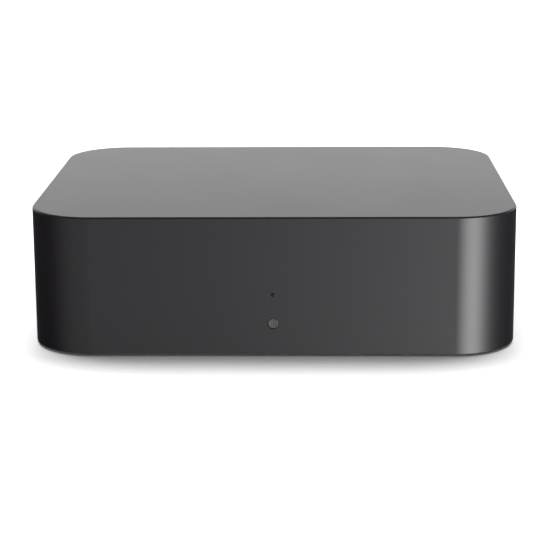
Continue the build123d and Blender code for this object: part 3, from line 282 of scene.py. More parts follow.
@dataclass(frozen=True)
class Finish:
    """What every finish has: a name, the slot in the record, a colour and a roughness."""

    name: str
    slot: str
    shade: Shade
    roughness: float

    def tone(self, change: float) -> Shade:
        """The finish's colour made lighter or darker."""
        return tuple(min(1.0, max(0.0, part * (1.0 + change))) for part in self.shade)

    def tint(self, graph: Graph, pattern: bpy.types.NodeSocket, tones: Pair) -> None:
        """Colours the surface by a pattern, between two changes of its tone."""
        graph.set("Base Color", graph.blend(pattern, self.tone(tones[0]), self.tone(tones[1])))

    def polish(self, graph: Graph, pattern: bpy.types.NodeSocket, gloss: Pair) -> None:
        """Roughens the surface by a pattern, between two changes of its roughness."""
        graph.set("Roughness", graph.spread(pattern, self.roughness + gloss[0], self.roughness + gloss[1]))

    def material(self) -> bpy.types.Material:
        """The material, made once."""
        found = bpy.data.materials.get(self.name)
        if found is not None:
            return found
        graph = Graph(self.name)
        self.dress(graph)
        return graph.material

    def dress(self, graph: Graph) -> None:
        """Fills the graph with this finish's own pattern."""
        raise NotImplementedError


@dataclass(frozen=True)
class Moulding(Finish):
    """Moulded plastic or a sprayed coat: a fine grain, faint mottling and uneven gloss."""

    grain: float = 0.35 * MM
    depth: float = 0.004 * MM
    mottle: float = 0.08
    specular: float = 0.5
    swell: float = 0.006 * MM
    swell_length: float = 14 * MM
    patch: float = 45 * MM
    cloud: float = 2.5 * MM
    uneven: float = 0.025

    def dress(self, graph: Graph) -> None:
        """Adds the grain, the mottling and the handled patches."""
        fine = graph.noise(self.grain, detail=3.0)
        patch = graph.noise(self.patch, detail=4.0)
        cloud = graph.noise(self.cloud, detail=3.0)
        self.tint(graph, cloud, (-self.mottle, self.mottle))
        self.polish(graph, patch, (-self.uneven, self.uneven))
        graph.set("Specular IOR Level", self.specular)
        swell = graph.relief(graph.noise(self.swell_length, detail=1.0), self.swell)
        graph.set("Normal", graph.relief(fine, self.depth, swell))


@dataclass(frozen=True)
class TextureCoat(Finish):
    """Stoved powder coat on steel: crowded pebbles with glossier crowns, a painted highlight on each and
    painted shade between.
    """

    pebble: float = 0.5 * MM
    depth: float = 0.035 * MM
    # Tone changes for the crowns and the hollows: painted highlight and painted shade that follow the
    # relief.
    tones: Pair = (0.25, -0.3)
    gloss: Pair = (-0.08, 0.12)
    crown: Pair = (0.1, 0.8)

    def dress(self, graph: Graph) -> None:
        """Adds the pebbles, with painted highlight on their crowns and painted shade in the hollows between
        them.
        """
        pebbles = graph.cells(self.pebble, "SMOOTH_F1")
        # Painted highlight and shade: the crowns come out lighter and the hollows between pebbles darker.
        self.tint(graph, pebbles, self.tones)
        self.polish(graph, pebbles, self.gloss)
        graph.set("Normal", graph.relief(graph.step(pebbles, *self.crown), self.depth))


@dataclass(frozen=True)
class Metal(Finish):
    """Bare or plated metal with drawn or turned lines and small tarnish."""

    along: Along = Along.X
    line: float = 0.08 * MM
    drawn_out: float = 30.0
    depth: float = 0.002 * MM
    tarnish: float = 4 * MM
    tones: Pair = (-0.1, 0.05)
    gloss: Pair = (-0.06, 0.1)

    def dress(self, graph: Graph) -> None:
        """Adds the lines and the tarnish."""
        lines = graph.noise(self.line, where=graph.stretched(self.along, self.drawn_out))
        self.tint(graph, graph.noise(self.tarnish, detail=4.0), self.tones)
        graph.set("Metallic", 1.0)
        self.polish(graph, lines, self.gloss)
        graph.set("Normal", graph.relief(lines, self.depth))


@dataclass(frozen=True)
class Rubber(Finish):
    """Moulded rubber: matt, dusty and finely pitted."""

    dust: float = 3 * MM
    pit: float = 0.25 * MM
    depth: float = 0.02 * MM
    specular: float = 0.3
    tones: Pair = (-0.2, 0.3)
    gloss: Pair = (-0.05, 0.08)

    def dress(self, graph: Graph) -> None:
        """Adds the dust and the pits."""
        dust = graph.noise(self.dust, detail=5.0)
        self.tint(graph, dust, self.tones)
        self.polish(graph, dust, self.gloss)
        graph.set("Specular IOR Level", self.specular)
        graph.set("Normal", graph.relief(graph.noise(self.pit, detail=3.0), self.depth))


@dataclass(frozen=True)
class Laminate(Finish):
    """A circuit board: lines like copper tracks under the solder mask, and tinned spots."""

    track: float = 6.5 * MM
    track_edge: Pair = (0.05, 0.02)
    spot: float = 4.2 * MM
    spot_edge: Pair = (0.09, 0.02)
    depth: float = 0.03 * MM
    copper_tone: float = 0.55
    tin: Shade = (0.78, 0.77, 0.74)

    def dress(self, graph: Graph) -> None:
        """Adds the tracks and the tinned spots."""
        tracks = graph.step(graph.cells(self.track, "DISTANCE_TO_EDGE"), *self.track_edge)
        spots = graph.step(graph.cells(self.spot), *self.spot_edge)
        mask = graph.blend(tracks, self.shade, self.tone(self.copper_tone))
        graph.set("Base Color", graph.blend(spots, mask, self.tin))
        graph.set("Metallic", spots)
        graph.set("Roughness", self.roughness)
        graph.set("Normal", graph.relief(tracks, self.depth))


@dataclass(frozen=True)
class Striped(Finish):
    """Anything in even lines: wound tape, a printed sleeve, a ribbon cable's or an aerial's film."""

    other: Shade
    pitch: float = 1.0 * MM
    along: Along = Along.X
    depth: float = 0.05 * MM
    blotch: float = 2 * MM
    gloss: Pair = (-0.05, 0.08)

    def dress(self, graph: Graph) -> None:
        """Adds the lines, a little uneven."""
        lines = graph.bands(self.pitch, self.along)
        graph.set("Base Color", graph.blend(lines, self.shade, self.other))
        self.polish(graph, graph.noise(self.blotch, detail=3.0), self.gloss)
        graph.set("Normal", graph.relief(lines, self.depth))


@dataclass(frozen=True)
class Clear(Finish):
    """Clear or smoked resin that lets part of the light in."""

    see_through: float
    index: float = 1.49
    flow: float = 0.6 * MM
    tones: Pair = (-0.05, 0.1)
    gloss: Pair = (0.0, 0.03)

    def dress(self, graph: Graph) -> None:
        """Adds faint flow lines in the resin."""
        flow = graph.noise(self.flow)
        self.tint(graph, flow, self.tones)
        self.polish(graph, flow, self.gloss)
        graph.set("Transmission Weight", self.see_through)
        graph.set("IOR", self.index)


def grey(level: float) -> Shade:
    """A neutral shade with the slight violet of the photographed plastic."""
    red, green, blue = PLASTIC_CAST
    return level * red, level * green, level * blue


SHELL_PLASTIC = Moulding(
    "satin_shell_plastic",
    "case_plastic",
    (0.084, 0.066, 0.09),
    0.3,
    grain=0.5 * MM,
    depth=0.0012 * MM,
    swell=0.0006 * MM,
    uneven=0.006,
)
BASE_PLASTIC = Moulding(
    "grained_base_plastic", "base_plastic", grey(0.12), 0.55, grain=0.6 * MM, depth=0.02 * MM
)
PANEL_COAT = TextureCoat("pebbled_panel_coat", "panel_paint", grey(0.15), 0.42)
FOOT_RUBBER = Rubber("moulded_foot_rubber", "foot_rubber", grey(0.16), 0.75)
SCREW_BLACK = Metal("blacked_screw_steel", "screw_black", grey(0.22), 0.38)
SCREW_ZINC = Metal("zinc_screw_steel", "screw_zinc", (0.78, 0.78, 0.76), 0.28)
SOCKET_PLASTIC = Moulding(
    "black_socket_plastic", "socket_plastic", grey(0.07), 0.42, grain=0.3 * MM, depth=0.008 * MM
)
SOCKET_STEEL = Metal("tinned_socket_steel", "socket_steel", (0.8, 0.8, 0.79), 0.3, along=Along.Y)
CONTACT_GOLD = Metal("gold_flashed_contact", "contact_gold", (0.92, 0.76, 0.42), 0.22, along=Along.Y)
BARREL_NICKEL = Metal("turned_nickel", "barrel_nickel", (0.84, 0.82, 0.78), 0.16, along=Along.X)
CORE_WHITE = Moulding("white_core_plastic", "core_white", (0.9, 0.9, 0.88), 0.3, mottle=0.02)
CORE_RED = Moulding("red_core_plastic", "core_red", (0.72, 0.09, 0.09), 0.3, mottle=0.04)
CORE_ORANGE = Moulding("orange_core_plastic", "core_orange", (0.86, 0.42, 0.06), 0.3, mottle=0.04)
CORE_VIOLET = Moulding("violet_core_plastic", "core_violet", (0.34, 0.17, 0.47), 0.3, mottle=0.04)
BUTTON_PLASTIC = Moulding(
    "satin_button_plastic", "button_plastic", grey(0.27), 0.34, grain=0.3 * MM, depth=0.002 * MM
)
SWITCH_PLASTIC = Moulding("black_switch_plastic", "switch_plastic", grey(0.2), 0.5)
CHIP_EPOXY = Moulding("moulded_chip_epoxy", "chip_epoxy", grey(0.17), 0.6, grain=0.2 * MM, depth=0.01 * MM)
PLUG_NYLON = Moulding("natural_nylon", "plug_nylon", (0.88, 0.87, 0.82), 0.45, mottle=0.03)
FILM_CASE = Moulding("boxed_capacitor_plastic", "film_case", (0.86, 0.74, 0.2), 0.35, mottle=0.03)
FERRITE = Moulding("sintered_ferrite", "ferrite", grey(0.24), 0.7, grain=0.4 * MM, depth=0.03 * MM)
PAD_GREY = Rubber("soft_grey_pad", "pad_grey", (0.62, 0.64, 0.66), 0.8)
LEAD_INSULATION = Rubber("flexible_lead_insulation", "lead_insulation", (0.2, 0.18, 0.18), 0.5)
BOARD_GREEN = Laminate("green_circuit_board", "board_green", (0.08, 0.36, 0.2), 0.32)
SCREENING_TIN = Metal("tinned_screening_plate", "screening_tin", (0.82, 0.82, 0.8), 0.35)
HEATSINK_METAL = Metal(
    "extruded_aluminium", "heatsink_metal", (0.74, 0.74, 0.75), 0.4, along=Along.Y, depth=0.006 * MM
)
WINDING_TAPE = Striped(
    "wound_yellow_tape",
    "winding_tape",
    (0.84, 0.7, 0.22),
    0.35,
    other=(0.78, 0.6, 0.14),
    pitch=3 * MM,
    along=Along.Z,
)
CAN_SLEEVE = Striped(
    "printed_can_sleeve",
    "can_sleeve",
    (0.1, 0.12, 0.2),
    0.28,
    other=(0.14, 0.17, 0.28),
    pitch=5 * MM,
    depth=0.01 * MM,
)
RIBBON_FILM = Striped(
    "clear_ribbon_film", "ribbon_film", (0.88, 0.87, 0.84), 0.3, other=(0.62, 0.64, 0.68), pitch=1 * MM
)
AERIAL_FILM = Striped(
    "copper_aerial_film",
    "aerial_film",
    (0.62, 0.4, 0.16),
    0.3,
    other=(0.78, 0.5, 0.28),
    pitch=4 * MM,
    along=Along.Z,
)
INSULATING_FILM = Clear(
    "milky_insulating_film", "insulating_film", (0.86, 0.86, 0.84), 0.25, see_through=0.5
)
SMOKED_WINDOW = Clear("smoked_window_resin", "smoked_window", grey(0.006), 0.12, see_through=0.05, index=1.4)
LAMP_RESIN = Clear("clear_lamp_resin", "lamp_resin", (0.9, 0.9, 0.86), 0.12, see_through=0.8)

KEPT_FINISHES: dict[Finish, tuple[str, ...]] = {
    BASE_PLASTIC: ("base_plate",),
    SCREW_ZINC: ("board_screws",),
    SOCKET_PLASTIC: ("ethernet_socket", "usb_tongue", "optical_output", "optical_shutter"),
    CONTACT_GOLD: ("ethernet_contacts",),
    BOARD_GREEN: ("main_board", "power_board", "front_board", "wifi_module"),
    CHIP_EPOXY: ("processor", "board_chips", "power_transistors", "remote_sensor"),
    PAD_GREY: ("processor_pad",),
    HEATSINK_METAL: ("processor_heatsink", "power_cooler"),
    CAN_SLEEVE: ("audio_capacitors", "bulk_capacitor", "output_capacitors"),
    SCREENING_TIN: ("wifi_screening_can",),
    AERIAL_FILM: ("aerials",),
    LEAD_INSULATION: ("aerial_leads", "mains_leads", "power_harness"),
    INSULATING_FILM: ("insulating_sheet",),
    FERRITE: ("transformer_core", "filter_choke"),
    WINDING_TAPE: ("transformer_winding",),
    FILM_CASE: ("filter_capacitor",),
    PLUG_NYLON: ("fuse", "lead_plugs", "ribbon_sockets"),
    SWITCH_PLASTIC: ("power_switch", "switch_plunger"),
    LAMP_RESIN: ("status_lamp",),
    RIBBON_FILM: ("ribbon_cable",),
}


# Mesh tools


def brick(mesh: bmesh.types.BMesh, low: Sequence[float], high: Sequence[float]) -> list[bmesh.types.BMVert]:
    """Adds a closed block between two corners.

    Args:
        mesh: The mesh to add to.
        low: The lowest corner.
        high: The highest corner.

    Returns:
        The block's corners.
    """
    low, high = Vector(low), Vector(high)
    made = bmesh.ops.create_cube(mesh, size=1.0)["verts"]
    bmesh.ops.scale(mesh, vec=high - low, verts=made)
    bmesh.ops.translate(mesh, vec=(low + high) / 2, verts=made)
    return made


def ease(
    mesh: bmesh.types.BMesh, edges: Iterable[bmesh.types.BMEdge], offset: float, segments: int = 3
) -> None:
    """Rounds a set of edges."""
    bmesh.ops.bevel(
        mesh,
        geom=list(edges),
        offset=offset,
        offset_type="OFFSET",
        segments=segments,
        profile=0.5,
        affect="EDGES",
        clamp_overlap=True,
        material=-1,
    )


def running(mesh: bmesh.types.BMesh, axis: int) -> list[bmesh.types.BMEdge]:
    """The edges that run along one axis."""
    found = []
    for edge in mesh.edges:
        run = edge.verts[1].co - edge.verts[0].co
        if abs(run[axis]) > ALIGNED_SHARE * run.length:
            found.append(edge)
    return found


def upper(mesh: bmesh.types.BMesh, height: float) -> list[bmesh.types.BMEdge]:
    """The edges that run from front to back above a height."""
    return [edge for edge in running(mesh, DEPTH_AXIS) if edge.verts[0].co.z > height]


def lying(mesh: bmesh.types.BMesh, axis: int, level: float) -> list[bmesh.types.BMEdge]:
    """The edges that lie in one plane across an axis."""
    return [edge for edge in mesh.edges if all(abs(end.co[axis] - level) < TOUCHING for end in edge.verts)]


def sharp(mesh: bmesh.types.BMesh) -> list[bmesh.types.BMEdge]:
    """The edges at which the surface turns by more than the sharp angle."""
    return [edge for edge in mesh.edges if edge.is_manifold and edge.calc_face_angle() > SHARP_ANGLE]


def merge_in(mesh: bmesh.types.BMesh, part: bmesh.types.BMesh) -> None:
    """Adds a part to a mesh, and frees the part."""
    carrier = bpy.data.meshes.new("carrier")
    part.to_mesh(carrier)
    part.free()
    mesh.from_mesh(carrier)
    bpy.data.meshes.remove(carrier)


def put(mesh: bmesh.types.BMesh, origin: Sequence[float], facing: Facing) -> None:
    """Turns a shape that was made upright at the origin, and moves it to its place."""
    place = Matrix.Translation(Vector(origin)) @ Euler(facing.value).to_matrix().to_4x4()
    bmesh.ops.transform(mesh, matrix=place, verts=mesh.verts)


def turn(
    mesh: bmesh.types.BMesh,
    profile: Profile,
    origin: Sequence[float],
    facing: Facing,
    edge: float = 0.0,
    closed: bool = False,
    steps: int = SPIN_STEPS,
) -> None:
    """Adds a turned shape, as a lathe makes it.

    Args:
        mesh: The mesh to add to.
        profile: Pairs of radius and distance along the axis, from one end round to the other.
        origin: The point that distance zero stands at.
        facing: The way the distances run.
        edge: The radius that its sharp edges are eased by.
        closed: True for a ring, whose profile comes back to its start.
        steps: How many faces go round it.
    """
    part = bmesh.new()
    points = [part.verts.new((radius, 0.0, distance)) for radius, distance in profile]
    pairs = list(zip(points, points[1:])) + ([(points[-1], points[0])] if closed else [])
    lines = [part.edges.new(pair) for pair in pairs]
    bmesh.ops.spin(
        part,
        geom=points + lines,
        cent=(0, 0, 0),
        axis=(0, 0, 1),
        dvec=(0, 0, 0),
        angle=2 * math.pi,
        steps=steps,
        use_merge=True,
    )
    bmesh.ops.remove_doubles(part, verts=part.verts, dist=WELD)
    bmesh.ops.recalc_face_normals(part, faces=part.faces)
    if edge:
        ease(part, sharp(part), edge)
    put(part, origin, facing)
    merge_in(mesh, part)


def rod(radius: float, low: float, high: float) -> Profile:
    """The profile of a plain solid rod."""
    return (0.0, low), (radius, low), (radius, high), (0.0, high)


def joined(first: bmesh.types.BMesh, second: bmesh.types.BMesh, operation: str) -> bmesh.types.BMesh:
    """Cuts one closed mesh from another, or unites the two.

    Args:
        first: The mesh that is kept or cut.
        second: The mesh that is added or taken away.
        operation: "UNION" or "DIFFERENCE".

    Returns:
        A new mesh; the two given ones are freed.
    """
    pieces = []
    for part in (first, second):
        data = bpy.data.meshes.new("blank")
        part.to_mesh(data)
        part.free()
        pieces.append(bpy.data.objects.new("blank", data))
        bpy.context.scene.collection.objects.link(pieces[-1])
    tool = pieces[0].modifiers.new("joint", "BOOLEAN")
    tool.operation, tool.solver, tool.object = operation, "EXACT", pieces[1]
    bpy.context.view_layer.update()
    made = bmesh.new()
    made.from_object(pieces[0], bpy.context.evaluated_depsgraph_get())
    for piece in pieces:
        data = piece.data
        bpy.data.objects.remove(piece)
        bpy.data.meshes.remove(data)
    bmesh.ops.dissolve_limit(made, angle_limit=FLAT_ANGLE, verts=made.verts, edges=made.edges)
    return made


def publish(
    name: str,
    mesh: bmesh.types.BMesh,
    finish: Finish,
    body: Body,
    nodes: Sequence[str] = (),
    flat_sided: bool = False,
) -> bpy.types.Object:
    """Turns a finished mesh into a dressed piece that rides on a body.

    Args:
        name: The piece's name.
        mesh: Its mesh, which is freed.
        finish: Its finish.
        body: The body that carries it.
        nodes: The CAD nodes that it stands for.
        flat_sided: True where large flat faces meet eased edges.

    Returns:
        The piece's object.
    """
    data = bpy.data.meshes.new(name)
    mesh.to_mesh(data)
    mesh.free()
    data.shade_smooth()
    data.set_sharp_from_angle(angle=SHARP_ANGLE)
    data.materials.append(finish.material())
    piece = bpy.data.objects.new(name, data)
    bpy.context.scene.collection.objects.link(piece)
    if flat_sided:
        even = piece.modifiers.new("even_normals", "WEIGHTED_NORMAL")
        even.keep_sharp = True
        even.weight = LARGE_FACE_WEIGHT
    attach(piece, body.value)
    if nodes:
        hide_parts(*nodes)
    LOG.info("made %s of %s on %s, %d faces", name, finish.name, body.value, len(data.polygons))
    return piece


def centre(node: str) -> Vector:
    """The middle of a CAD node's box."""
    low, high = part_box(node)
    return (low + high) / 2


def corners(node: str, radius: float) -> list[Pair]:
    """The four places in plan that stand a radius inside the corners of a CAD node's box."""
    low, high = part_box(node)
    return [(x, y) for x in (low.x + radius, high.x - radius) for y in (low.y + radius, high.y - radius)]


# Sub-assemblies


@dataclass
class TopShell:
    """The moulded cover: top and walls in one piece, with its posts, ribs and button guide."""

    corner_radius: float = 33.0 * MM
    edge_radius: float = 0.9 * MM
    wall: float = 2.6 * MM
    roof: float = 2.8 * MM
    lip: float = 1.3 * MM
    lip_height: float = 2.4 * MM
    panel_gap: float = 0.25 * MM
    button_gap: float = 0.1 * MM
    button_flare: float = 0.14 * MM
    window_gap: float = 0.05 * MM
    window_flare: float = 0.08 * MM
    post_radius: float = 4.0 * MM
    post_bore: float = 1.5 * MM
    post_foot: float = 7.9 * MM
    rib: float = 1.4 * MM
    rib_depth: float = 3.0 * MM
    bays: int = 3
    guide_bore: float = 4.6 * MM
    guide_radius: float = 5.8 * MM
    guide_length: float = 2.4 * MM
    corner_segments: int = 28
    edge_segments: int = 6

    def __post_init__(self) -> None:
        """Reads the shell's place from the frame."""
        self.low, self.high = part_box("top_shell")

    def blank(self) -> bmesh.types.BMesh:
        """The outside with its rounded corners and eased top edge."""
        mesh = bmesh.new()
        brick(mesh, self.low, self.high)
        ease(mesh, running(mesh, HEIGHT_AXIS), self.corner_radius, self.corner_segments)
        ease(mesh, lying(mesh, HEIGHT_AXIS, self.high.z), self.edge_radius, self.edge_segments)
        return mesh

    def hollow(self, mesh: bmesh.types.BMesh) -> None:
        """Steps the rim for the base plate, then sinks the inside to the roof."""
        floor = min(mesh.faces, key=lambda face: face.calc_center_median().z)
        for inset, depth in (
            (self.lip, self.lip_height),
            (self.wall - self.lip, self.high.z - self.roof - self.low.z - self.lip_height),
        ):
            bmesh.ops.inset_region(
                mesh, faces=[floor], thickness=inset, use_even_offset=True, use_boundary=True
            )
            floor = bmesh.ops.extrude_discrete_faces(mesh, faces=[floor])["faces"][0]
            bmesh.ops.translate(mesh, vec=(0, 0, depth), verts=floor.verts)

    def openings(self) -> bmesh.types.BMesh:
        """The shapes cut out of the walls: the panel's opening and the two front holes."""
        low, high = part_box("rear_panel")
        inset = RearPanel.flange - self.panel_gap
        mesh = bmesh.new()
        brick(
            mesh,
            (low.x + inset, self.high.y - self.wall - OVERRUN, self.low.z - OVERRUN),
            (high.x - inset, self.high.y + OVERRUN, high.z - inset),
        )
        ease(mesh, upper(mesh, self.low.z), RearPanel.corner + self.panel_gap, RearPanel.corner_segments)
        for node, radius, flare in (
            ("front_button", FrontControls.button_radius + self.button_gap, self.button_flare),
            ("light_pipe", FrontControls.window_radius + self.window_gap, self.window_flare),
        ):
            place = centre(node)
            profile = (
                (0.0, -OVERRUN),
                (radius + flare + OVERRUN, -OVERRUN),
                (radius, flare),
                (radius, self.wall + OVERRUN),
                (0.0, self.wall + OVERRUN),
            )
            turn(mesh, profile, (place.x, self.low.y, place.z), Facing.BACK)
        return mesh

    def stiffen(self, mesh: bmesh.types.BMesh) -> None:
        """Adds the ribs under the top, between equal bays, the corner posts and the button's guide."""
        ceiling = self.high.z - self.roof
        inner = Vector((self.high.x - self.wall, self.high.y - self.wall, 0))
        front = self.low.y + self.wall
        for index in range(1, self.bays):
            x = inner.x * (2 * index / self.bays - 1)
            brick(
                mesh,
                (x - self.rib / 2, front - BURIED, ceiling - self.rib_depth),
                (x + self.rib / 2, inner.y + BURIED, ceiling + BURIED),
            )
        length = ceiling + BURIED - self.post_foot
        ring = (
            (self.post_bore, 0.0),
            (self.post_radius, 0.0),
            (self.post_radius, length),
            (self.post_bore, length),
        )
        for x, y in corners("case_screws", FeetAndScrews.head_radius):
            turn(mesh, ring, (x, y, self.post_foot), Facing.UP, closed=True)
        guide = (
            (self.guide_bore, -BURIED),
            (self.guide_radius, -BURIED),
            (self.guide_radius, self.guide_length),
            (self.guide_bore, self.guide_length),
        )
        place = centre("front_button")
        turn(mesh, guide, (place.x, front, place.z), Facing.BACK, closed=True)

    def build(self) -> None:
        """Makes the shell and puts it in the CAD shell's place."""
        mesh = self.blank()
        self.hollow(mesh)
        mesh = joined(mesh, self.openings(), "DIFFERENCE")
        self.stiffen(mesh)
        publish("shell_moulding", mesh, SHELL_PLASTIC, Body.CASE, ("top_shell",), flat_sided=True)


@dataclass
class FrontControls:
    """The push button and the small window above it."""

    button_radius: float = 2.7 * MM
    button_edge: float = 0.36 * MM
    dish: float = 0.12 * MM
    dish_shares: Profile = ((0.0, 1.0), (0.45, 0.75), (0.8, 0.1), (1.0, 0.0))
    flange_radius: float = 4.0 * MM
    flange: float = 1.0 * MM
    stem_radius: float = 1.6 * MM
    cap_length: float = 2.55 * MM
    window_radius: float = 0.95 * MM
    window_flat_share: float = 0.8
    window_edge: float = 0.14 * MM
    horn_radius: float = 3.4 * MM
    pipe_length: float = 2.45 * MM

    def build_button(self) -> None:
        """Turns the button: a slightly dished face, a flange that keeps it in and a stem."""
        low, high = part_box("front_button")
        place = centre("front_button")
        length = high.y - low.y
        profile = (
            *[(across * self.button_radius, deep * self.dish) for across, deep in self.dish_shares],
            (self.button_radius, self.cap_length),
            (self.flange_radius, self.cap_length),
            (self.flange_radius, self.cap_length + self.flange),
            (self.stem_radius, self.cap_length + self.flange),
            (self.stem_radius, length),
            (0.0, length),
        )
        mesh = bmesh.new()
        origin = (place.x, low.y, place.z)
        turn(mesh, profile, origin, Facing.BACK, edge=self.button_edge, steps=BROAD_SPIN_STEPS)
        publish("button_cap", mesh, BUTTON_PLASTIC, Body.BUTTON, ("front_button",))

    def build_window(self) -> None:
        """Turns the smoked rod, its edges eased and its end wide behind the wall."""
        low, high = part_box("light_pipe")
        place = centre("light_pipe")
        profile = (
            (0.0, 0.0),
            (self.window_flat_share * self.window_radius, 0.0),
            (self.window_radius, 0.0),
            (self.window_radius, self.pipe_length),
            (self.horn_radius, self.pipe_length),
            (self.horn_radius, high.y - low.y),
            (0.0, high.y - low.y),
        )
        mesh = bmesh.new()
        turn(mesh, profile, (place.x, low.y, place.z), Facing.BACK, edge=self.window_edge)
        publish("indicator_window", mesh, SMOKED_WINDOW, Body.CASE, ("light_pipe",))

    def build(self) -> None:
        """Makes both."""
        self.build_button()
        self.build_window()


@dataclass
class FeetAndScrews:
    """The rubber feet, the screws that come up through the base plate and the connection panel's screws."""

    foot_radius: float = 8.0 * MM
    foot_edge: float = 0.45 * MM
    hollow: float = 0.35 * MM
    hollow_shares: Pair = (0.6, 0.68)
    head_radius: float = 2.9 * MM
    head_height: float = 1.6 * MM
    dome_shares: Profile = ((1.0, 0.45), (0.8, 0.85), (0.45, 1.0), (0.0, 1.0))
    shank_radius: float = 1.45 * MM
    tip_share: float = 0.5
    cross_width: float = 0.75 * MM
    cross_reach: float = 1.7 * MM
    cross_depth: float = 0.9 * MM

    def build_feet(self) -> None:
        """Turns the four feet, each with an eased edge and a shallow hollow in its underside."""
        low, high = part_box("feet")
        height = high.z - low.z
        inner, outer = (share * self.foot_radius for share in self.hollow_shares)
        profile = (
            (0.0, self.hollow),
            (inner, self.hollow),
            (outer, 0.0),
            (self.foot_radius, 0.0),
            (self.foot_radius, height),
            (0.0, height),
        )
        mesh = bmesh.new()
        for x, y in corners("feet", self.foot_radius):
            turn(mesh, profile, (x, y, low.z), Facing.UP, edge=self.foot_edge, steps=BROAD_SPIN_STEPS)
        publish("rubber_feet", mesh, FOOT_RUBBER, Body.CASE, ("feet",))

    def screw(self, length: float, origin: Sequence[float], facing: Facing) -> bmesh.types.BMesh:
        """One pan-headed screw with a cross recess.

        Args:
            length: The shank's length.
            origin: The middle of the head's underside.
            facing: The way that the head points.

        Returns:
            The screw's mesh.
        """
        mesh = bmesh.new()
        profile = (
            (0.0, -length),
            (self.tip_share * self.shank_radius, -length),
            (self.shank_radius, -length + self.shank_radius),
            (self.shank_radius, 0.0),
            (self.head_radius, 0.0),
            *[(across * self.head_radius, up * self.head_height) for across, up in self.dome_shares],
        )
        turn(mesh, profile, (0, 0, 0), Facing.UP, steps=SMALL_SPIN_STEPS)
        reach, half = self.cross_reach, self.cross_width / 2
        low, high = self.head_height - self.cross_depth, self.head_height + OVERRUN
        for x, y in ((reach, half), (half, reach)):
            recess = bmesh.new()
            brick(recess, (-x, -y, low), (x, y, high))
            mesh = joined(mesh, recess, "DIFFERENCE")
        put(mesh, origin, facing)
        return mesh

    def build_case_screws(self) -> None:
        """Makes the four screws under the base plate."""
        low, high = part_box("case_screws")
        mesh = bmesh.new()
        head_z = low.z + self.head_height
        for x, y in corners("case_screws", self.head_radius):
            merge_in(mesh, self.screw(high.z - head_z, (x, y, head_z), Facing.DOWN))
        publish("case_screw_set", mesh, SCREW_BLACK, Body.CASE, ("case_screws",))

    def build_panel_screws(self) -> None:
        """Makes the two screws in the connection panel's upper corners."""
        low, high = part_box("rear_panel_screws")
        mesh = bmesh.new()
        head_y = high.y - self.head_height
        middle = (low.z + high.z) / 2
        for x in (low.x + self.head_radius, high.x - self.head_radius):
            merge_in(mesh, self.screw(head_y - low.y, (x, head_y, middle), Facing.BACK))
        publish("panel_screw_set", mesh, SCREW_BLACK, Body.CASE, ("rear_panel_screws",))

    def build(self) -> None:
        """Makes the feet and both sets of screws."""
        self.build_feet()
        self.build_case_screws()
        self.build_panel_screws()


